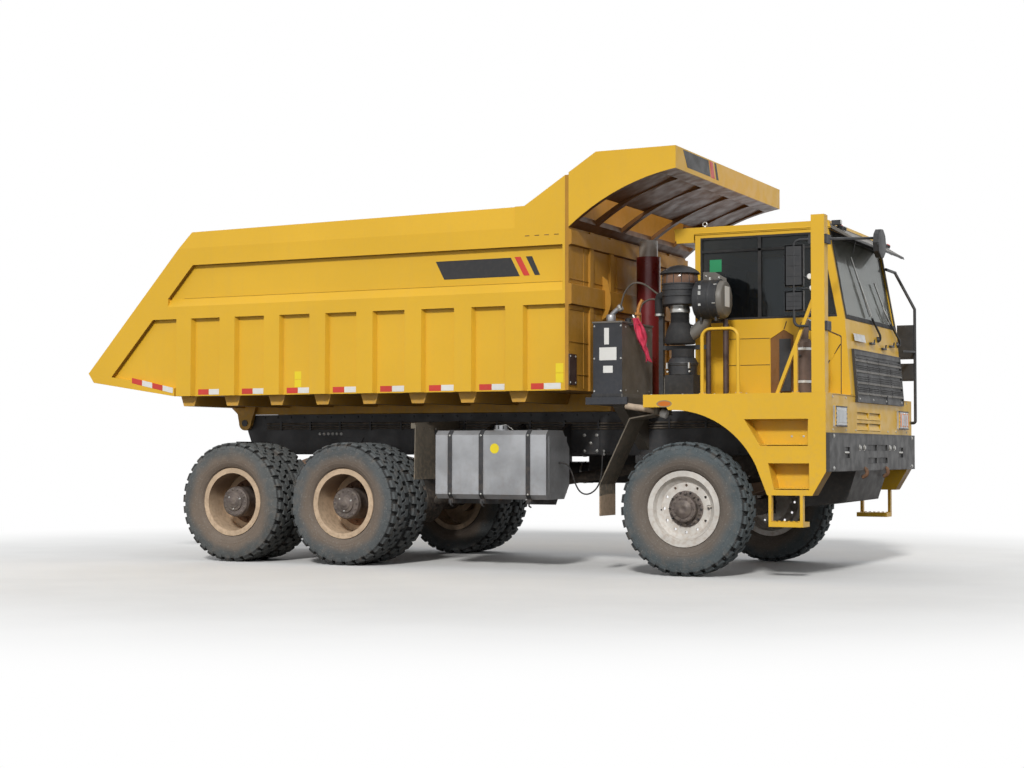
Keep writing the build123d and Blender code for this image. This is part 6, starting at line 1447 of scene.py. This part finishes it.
# Dashboard: cowl, dials, switches, vents, the steering wheel's hub, pedals, levers and blinds
piece = Piece(
    "dashboard_trim", "root", ["black", "white", "steel", "orange", "rubber", "grey", "pale_cloth"],
    bevel=0.002
)
piece.prism([(1090, 2610), (1424, 2610), (1420, 2690), (1240, 2740), (1120, 2660)], "y", 480, 1020, 0)
for k, y in enumerate((560, 680, 800, 920)):
    radius = 46 if k in (1, 2) else 34
    centre = (1114, y, 2646)
    piece.lathe(
        [(0, 0), (0, radius), (4, radius), (6, radius - 5), (2, radius - 8), (2, 0)], centre, (-1, 0, 0.35),
        2, 32
    )
    piece.lathe([(2.5, 0), (2.5, radius - 9), (3, 0)], centre, (-1, 0, 0.35), 1, 24)
for j in range(3):
    for k in range(8):
        y = -20 + 52 * k
        piece.block((1096, y, 2440 + 46 * j), (1104, y + 36, 2470 + 46 * j), 3 if (j + k) % 5 == 0 else 5)
for y in (-560, -400, -240):
    piece.ring(rect(1230, 2612, 1330, 2640), 6, y, 100, 4)
piece.lathe([(0, 0), (0, 66), (22, 58), (30, 40), (30, 0)], (1130, 750, 2540), (-1, 0, 1.4), 0, 32)
across = Vector(TO_LEFT)
other = Vector((-1, 0, 1.4)).normalized().cross(across)
for a in (pi / 2, pi * 7 / 6, pi * 11 / 6):
    out = across * cos(a) + other * sin(a)
    piece.tube([Vector((1142, 750, 2534)) + out * 52, Vector((1154, 750, 2520)) + out * 200], 11, 0, 8)
for y in (640, 760, 860):
    piece.block((1060, y - 32, 2030), (1078, y + 32, 2120), 4)
    piece.tube([(1076, y, 2090), (1110, y, 2190)], 9, 2, 8)
piece.block((520, 180, 1900), (1000, 320, 2180), 5)
for y, height in ((215, 2420), (285, 2340)):
    piece.tube([(760, y, 2180), (720, y, height)], 10, 2, 10)
    piece.lathe(
        [(0, 0), (0, 24), (16, 32), (42, 28), (54, 10), (54, 0)], (720, y, height), (-0.1, 0, 1), 0, 20
    )
piece.plate([(-70, -700, 3330), (-70, 1200, 3330), (-70, 1200, 3450), (-70, -700, 3450)], 6, 6)
piece.plate([(1330, -680, 3120), (1330, -40, 3120), (1318, -40, 3210), (1318, -680, 3210)], 5, 6)
piece.done()


# Hoses: each is one smooth curve from fitting to fitting
def hose(name, route, diameter, finish="hose"):
    curve = bpy.data.curves.new(name, "CURVE")
    curve.dimensions = "3D"
    spline = curve.splines.new("NURBS")
    spline.points.add(len(route) - 1)
    for point, place in zip(spline.points, route):
        point.co = (*at(*place), 1)
    spline.order_u = 3
    spline.use_endpoint_u = True
    spline.resolution_u = 12
    curve.bevel_depth = diameter / 2
    curve.bevel_resolution = 4
    curve.use_fill_caps = True
    curve.materials.append(MATERIALS[finish])
    piece = placed(name, curve)
    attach(piece, "root")


hose(
    "hose_high",
    [(-790, -1300, 2782), (-770, -1300, 2860), (-740, -1298, 2960), (-650, -1290, 3050), (-530, -1280, 3030),
     (-430, -1262, 2950), (-340, -1235, 2880), (-270, -1205, 2800), (-250, -1192, 2700)], 0.020,
)
hose(
    "hose_back",
    [(-700, -1000, 2620), (-700, -1000, 2730), (-680, -980, 2850), (-580, -930, 2910), (-450, -860, 2850),
     (-340, -800, 2720), (-240, -775, 2620), (-140, -765, 2600)], 0.020,
)
hose(
    "hose_tank",
    [
        (-1535, -1250, 1150), (-1440, -1250, 1150), (-1380, -1245, 1060), (-1350, -1230, 930),
        (-1290, -1210, 820), (-1190, -1190, 810), (-1090, -1180, 900), (-1050, -1180, 1080),
        (-1050, -1180, 1290)
    ],
    0.016, "rubber",
)

# A pink-red cloth cover that hangs from the fittings down the cabinet's side
cover = bpy.data.meshes.new("hanging_cover")
ACROSS, DOWN = 22, 64
points = []
for j in range(DOWN + 1):
    t = j / DOWN
    for i in range(ACROSS + 1):
        s = i / ACROSS
        narrow = 0.55 + 0.45 * sin(pi * min(1, t * 1.4 + 0.12)) - 0.35 * max(0, t - 0.55)
        x = -600 + 130 * t + 120 * (s - 0.5) * narrow + 9 * sin(9 * t + 5 * s)
        y = -1338 + 16 * sin(12 * s + 3 * t) + 8 * sin(23 * t + 4 * s) + 40 * t
        z = 2668 - 455 * t - 24 * (s - 0.5) ** 2 * (1 + t) + 6 * sin(8 * s + 17 * t)
        points.append(at(x, y, z))
faces = []
for j in range(DOWN):
    for i in range(ACROSS):
        a = j * (ACROSS + 1) + i
        faces.append((a, a + 1, a + ACROSS + 2, a + ACROSS + 1))
cover.from_pydata([tuple(p) for p in points], [], faces)
cover.materials.append(MATERIALS["pink"])
cover.shade_smooth()
cloth = placed("hanging_cover", cover)
thick = cloth.modifiers.new("thick", "SOLIDIFY")
thick.thickness = 0.002
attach(cloth, "root")

# Fuel tank: end plates, strap bolts and hooks, cap, drain, sender, seams and a blank round sticker
piece = Piece(
    "fuel_tank_trim", "root", ["aluminium", "black", "steel", "sticker", "rust", "white"], bevel=0.0015
)
for x in (-2870, -1535):
    piece.block((x, -1490, 820), (x + 3, -1040, 1430), 0)
piece.lathe(collar(0, 1.5, 54), (-2146, -1560, 1300), TO_RIGHT, 3, 32)
for x in (-2689, -2309, -1746):
    piece.tube([(x + 16, -1567, 740), (x + 16, -1567, 690), (x + 16, -1520, 676)], 9, 1, 8, bend=12)
    piece.bolt((x, -1566, 1440), TO_RIGHT, 8, 5, 2)
    piece.bolt((x, -1566, 812), TO_RIGHT, 8, 5, 2)
piece.lathe([(0, 60), (0, 84), (10, 84), (14, 78), (14, 60)], (-2128, -1430, 1495), UP, 0, 40)
for x, y in circle(8, 69):
    piece.lathe(collar(0, 38, 9), (-2128 + x, -1430 + y, 1509), UP, 1, 8)
piece.tube([(-2128, -1430, 1552), (-2085, -1400, 1556), (-2010, -1380, 1500)], 4, 2, 6)
piece.lathe([(0, 0), (0, 34), (18, 30), (22, 14), (22, 0)], (-1760, -1250, 1495), UP, 1, 24)
piece.bolt((-2200, -1300, 757), (0, 0, -1), 18, 14, 4)
for x in (-2860, -1542):
    piece.tube([(x, -1548, 830), (x, -1548, 1420)], 6, 0, 8)
piece.done()

# Chassis: bolt rows, gusset plates, air lines, brake chambers and the exhaust's wrapped end
RAIL_Y = 500
piece = Piece("chassis_trim", "root", ["steel", "chassis", "hose", "rust", "wrap", "white", "leaf"], bevel=0)
for side in (RIGHT, LEFT):
    out = (0, side, 0)
    for x in range(-5840, 1300, 190):
        for z in (1262, 1676):
            piece.lathe([(0, 0), (0, 13), (7, 13), (9, 8), (9, 0)], (x, side * RAIL_Y, z), out, 1, 6)
    for k in range(6):
        piece.bolt((-5042 + 60 * k, side * RAIL_Y, 1477), out, 13, 10, 5)
    for z in (1275, 1240):
        piece.lathe(
            [(0, 0), (0, 16), (12, 16), (14, 10), (14, 0)], (-1323, side * (RAIL_Y + 12), z), out, 5, 6
        )
    piece.prism(rect(-1595, 1486, -1377, 1240), "y", side * RAIL_Y, side * (RAIL_Y + 12), 1)
    for x, z in ((-1560, 1450), (-1412, 1450), (-1560, 1275), (-1412, 1275), (-1486, 1362)):
        piece.bolt((x, side * (RAIL_Y + 12), z), out, 14, 9, 0)
    for z, r in ((1600, 12), (1565, 9), (1540, 9)):
        line = (
            (-5800, RAIL_Y + 8, z), (-2900, RAIL_Y + 8, z), (-1400, RAIL_Y + 12, z - 20),
            (600, RAIL_Y + 8, z)
        )
        piece.tube([(x, side * y, z) for x, y, z in line], r, 2, 8, bend=60)
    for x in range(-5600, 500, 420):
        piece.block((x, side * RAIL_Y, 1522), (x + 24, side * (RAIL_Y + 24), 1618), 1)
    for x in (-5250, -3750):
        chamber = [
            (0, 0), (0, 70), (10, 84), (60, 88), (64, 96), (76, 96), (80, 88), (130, 84), (140, 70),
            (140, 0)
        ]
        piece.lathe(chamber, (x, side * 740, 860), (0.35, 0, 0.94), 3, 32)
        piece.tube([(x, side * 740, 860), (x - 90, side * 740, 700)], 14, 0, 10)
        piece.block((x - 120, side * 700, 690), (x - 70, side * 780, 780), 1)
    piece.lathe([(0, 0), (0, 58), (10, 58), (18, 46), (18, 0)], (-4750, side * 722, 980), out, 3, 32)
    for x in (-4850, -4650):
        for y in (606, 714):
            piece.tube([(x, side * y, 900), (x, side * y, 1250)], 14, 0, 10)
            piece.bolt((x, side * y, 1250), UP, 20, 16, 0)
        piece.block((x - 24, side * 590, 1228), (x + 24, side * 730, 1252), 1)
piece.tube([(-644, -1500, 1742), (-420, -1500, 1712), (-250, -1500, 1668)], 34, 4, 20, bend=60)
piece.lathe([(0, 0), (0, 44), (60, 46), (70, 36), (70, 0)], (-250, -1500, 1668), (0.94, 0, -0.25), 5, 28)
piece.lathe(collar(0, 30, 42, 35), (-310, -1500, 1683), (0.96, 0, -0.22), 3, 28)
piece.done()


def leaf_pack(piece, centre_x, low_y, high_y, top, bend, half, count, thick, shorten):
    """Leaves half long each way; bend is how much the top one's ends stand above its middle."""
    for k in range(count):
        reach = half - shorten * k
        line = [centre_x + reach * (2 * i / 16 - 1) for i in range(17)]
        upper = [(x, top - thick * k + bend * ((x - centre_x) / half) ** 2) for x in line]
        lower = [(x, z - thick + 3) for x, z in upper]
        piece.prism(upper + lower[::-1], "y", low_y, high_y, 0)


piece = Piece("spring_leaves", "root", ["leaf", "steel", "rust"], bevel=0.0015, angle=50)
for side in (RIGHT, LEFT):
    leaf_pack(piece, 0, side * 402, side * 498, 910, 110, 800, 5, 26, 120)
    leaf_pack(piece, -4750, side * 602, side * 718, 1230, -330, 850, 6, 25, 105)
    for x in (-70, 70):
        for y in (392, 508):
            piece.tube([(x, side * y, 770), (x, side * y, 925)], 11, 1, 10)
        piece.block((x - 14, side * 384, 911), (x + 14, side * 516, 925), 1)
    for x, mid, wide, z in (
        (-560, 450, 52, 935), (560, 450, 52, 935), (-5250, 660, 62, 1080), (-4250, 660, 62, 1080),
    ):
        piece.block((x - 12, side * (mid - wide), z - 30), (x + 12, side * (mid + wide), z + 22), 2)
piece.done()

piece = Piece("tail_lamps", "root", ["chassis", "red", "orange", "white", "rubber", "steel"], bevel=0.002)
for side in (RIGHT, LEFT):
    piece.block((-6000, side * 498, 1240), (-5965, side * 860, 1270), 0)
    piece.block((-6012, side * 560, 1268), (-5962, side * 850, 1385), 0)
    for k, finish in enumerate((1, 2, 3)):
        y = 570 + 94 * k
        piece.block((-6018, side * y, 1280), (-6011, side * (y + 84), 1373), finish)
        for j in range(5):
            piece.block(
                (-6020, side * (y + 6), 1288 + 17 * j), (-6017, side * (y + 78), 1292 + 17 * j), finish
            )
piece.done()

# Power unit: ribs, covers, sump, pulleys and fan on the engine block, fins on the radiator
piece = Piece("engine_trim", "root", ["axle", "rust", "rubber", "steel", "hose"], bevel=0.003)
for side in (RIGHT, LEFT):
    for k in range(6):
        x = -20 + 185 * k
        piece.block((x, side * 400, 1330), (x + 140, side * 425, 1460), 0)
        piece.tube(
            [(x + 70, side * 402, 1480), (x + 70, side * 470, 1520), (x + 70, side * 470, 1600)], 26, 1, 12,
            bend=30
        )
    piece.tube([(-40, side * 470, 1610), (1110, side * 470, 1610)], 38, 1, 16)
    piece.block((-700, side * 400, 1060), (-300, side * 420, 1300), 0)
    for x in range(-760, 1150, 120):
        piece.lathe(collar(0, 9, 11), (x, side * 400, 1010), (0, side, 0), 3, 6)
piece.prism([(80, 960), (900, 960), (840, 880), (160, 880)], "y", -260, 260, 0)
for y, z, r in ((0, 1180, 120), (-170, 1400, 80), (180, 1380, 70)):
    piece.lathe(
        [(0, 0), (0, r), (12, r), (16, r - 12), (30, r - 12), (34, r), (46, r), (46, 0)], (1180, y, z),
        AHEAD, 0, 32
    )
fan = Vector((1250, 0, 1420))
for across, up in circle(9, 1):
    tip = Vector((0, across, up))
    lean = Vector((0, -up, across))
    root, end = fan + tip * 60, fan + tip * 240
    twist = [end - lean * 60 + Vector((30, 0, 0)), end + lean * 40 - Vector((10, 0, 0))]
    piece.plate([root - lean * 30, *twist, root + lean * 30], 5, 2)
piece.lathe([(0, 0), (0, 70), (40, 64), (40, 0)], (1226, 0, 1420), AHEAD, 2, 28)
piece.done()

piece = Piece("radiator_trim", "root", ["chassis", "aluminium"], bevel=0.001)
for k in range(25):
    z = 1190 + 20 * k
    piece.block((1420, -350, z), (1424, 350, z + 6), 1)
for y in (-380, 350):
    piece.block((1420, y, 1165), (1432, y + 30, 1695), 0)
piece.done()

# Left side: battery lid, latches and louvres, air tank straps and their pipe
piece = Piece("left_trim", "root", ["black", "steel", "chassis", "rubber"], bevel=0.002)
piece.block((-2108, 812, 1380), (-1492, 1388, 1392), 0)
for x in (-2000, -1620):
    piece.block((x, 1380, 1300), (x + 30, 1388, 1378), 1)
    piece.tube([(x + 15, 1388, 1310), (x + 15, 1400, 1300), (x + 15, 1388, 1280)], 4, 1, 6)
for k in range(6):
    piece.block((-2060 + 90 * k, 1380, 930), (-2030 + 90 * k, 1386, 1260), 0)
for x in (-2800, -2550, -2300):
    for z in (1020, 1340):
        piece.lathe(collar(-14, 14, 135, 131), (x, 1150, z), AHEAD, 1, 40)
piece.tube(
    [(-2900, 1150, 1020), (-2940, 1150, 1020), (-2940, 1150, 1340), (-2900, 1150, 1340)], 9, 1, 8, bend=20
)
piece.done()

# Left door: handle, lock and seam strips
piece = Piece("door_trim", "door_left", ["black", "rubber", "steel", "yellow"], bevel=0.002)
piece.block((548, 1330, 2520), (680, 1334, 2570), 0)
piece.tube([(566, 1334, 2545), (572, 1352, 2545), (650, 1352, 2545), (660, 1334, 2545)], 8, 2, 8, bend=10)
for z in (1960, 2440, 2600):
    piece.block((560, 1330, z), (1350, 1333, z + 6), 3)
piece.lathe(collar(0, 3, 14), (600, 1334, 2478), TO_LEFT, 2, 20)
piece.done()

piece = Piece("mud_guard_trim", "root", ["steel", "flap", "chassis"], bevel=0.0015)
for side in (RIGHT, LEFT):
    for y in (1070, 1220, 1370, 1520):
        piece.bolt((-3136, side * y, 1520), AHEAD, 11, 8, 0)
    for k in range(5):
        z = 1050 + 85 * k
        piece.block((-3136, side * 1060, z), (-3131, side * 1530, z + 12), 1)
piece.done()

# Floor and backdrop: a floor that fades to white, seen white by the camera and dim by other rays
FLOOR_HALF = 150
ground = bpy.data.meshes.new("studio_floor")
corners = [(x, y, 0) for x, y in rect(-FLOOR_HALF, -FLOOR_HALF, FLOOR_HALF, FLOOR_HALF)]
ground.from_pydata(corners, [], [(0, 1, 2, 3)])
floor = placed("studio_floor", ground)
shader = Shader("pale_floor")
rays = shader.node("ShaderNodeLightPath")
speck = shader.span(shader.noise(0.7, 4), 0.3, 0.7)
seen_floor = shader.mix(speck, (0.86, 0.86, 0.86), (0.9, 0.9, 0.9))
pale = shader.node("ShaderNodeBsdfDiffuse")
shader.put(shader.mix(rays.outputs["Is Camera Ray"], (0.3, 0.28, 0.26), seen_floor), pale.inputs["Color"])
bright = shader.node("ShaderNodeEmission")
bright.inputs["Color"].default_value = (1, 1, 1, 1)
seen = shader.maths("MAXIMUM", rays.outputs["Is Camera Ray"], rays.outputs["Is Glossy Ray"])
far = shader.span(shader.vector("LENGTH", shader.coords), 6.0, 11.0)
blend = shader.layered(shader.times(far, seen), pale.outputs[0], bright.outputs[0])
shader.link(blend, shader.output.inputs["Surface"])
ground.materials.append(shader.material)

world = bpy.data.worlds.new("studio")
bpy.context.scene.world = world
sky = NodeTree(world)
ambient = sky.node("ShaderNodeBackground")
ambient.inputs["Color"].default_value = (0.96, 0.98, 1, 1)
ambient.inputs["Strength"].default_value = 0.5
plain = sky.node("ShaderNodeBackground")
plain.inputs["Color"].default_value = (1, 1, 1, 1)
plain.inputs["Strength"].default_value = 1.0
path = sky.node("ShaderNodeLightPath").outputs
seen = sky.maths("MAXIMUM", path["Is Camera Ray"], path["Is Glossy Ray"])
seen = sky.maths("MAXIMUM", seen, path["Is Transmission Ray"])
surface = sky.node("ShaderNodeOutputWorld")
sky.link(sky.layered(seen, ambient.outputs[0], plain.outputs[0]), surface.inputs["Surface"])


def sun(name, energy, width, travel, colour=(1, 1, 1)):
    """A sun whose light goes along travel; width in degrees softens its shadows."""
    light = bpy.data.lights.new(name, "SUN")
    light.energy = energy
    light.angle = radians(width)
    light.color = colour
    lamp = placed(name, light)
    lamp.rotation_mode = "QUATERNION"
    lamp.rotation_quaternion = Vector(travel).to_track_quat("-Z", "Y")


sun("key", 2.1, 7, (-0.25, 0.80, -0.52), (1, 0.985, 0.95))
sun("fill", 0.7, 35, (0.45, -0.8, -0.4))

# Camera at the photograph's angle
PHOTO_WIDTH, FOCAL_LENGTH = 1024, 1759
azimuth, elevation, roll = radians(26.57), radians(-2.22), radians(0.08)
back = Vector((sin(azimuth) * cos(elevation), -cos(azimuth) * cos(elevation), sin(elevation)))
right = Vector(UP).cross(back).normalized()
turn = Matrix((right, back.cross(right), back)).transposed() @ Matrix.Rotation(roll, 3, "Z")
lens = bpy.data.cameras.new("camera")
lens.sensor_fit = "HORIZONTAL"
lens.sensor_width = 36
lens.lens = FOCAL_LENGTH / PHOTO_WIDTH * 36
lens.clip_end = 500
camera = placed("camera", lens)
camera.matrix_world = Matrix.Translation(at(6462, -18354, 1261)) @ turn.to_4x4()
bpy.context.scene.camera = camera
bpy.context.scene.view_settings.view_transform = "Standard"
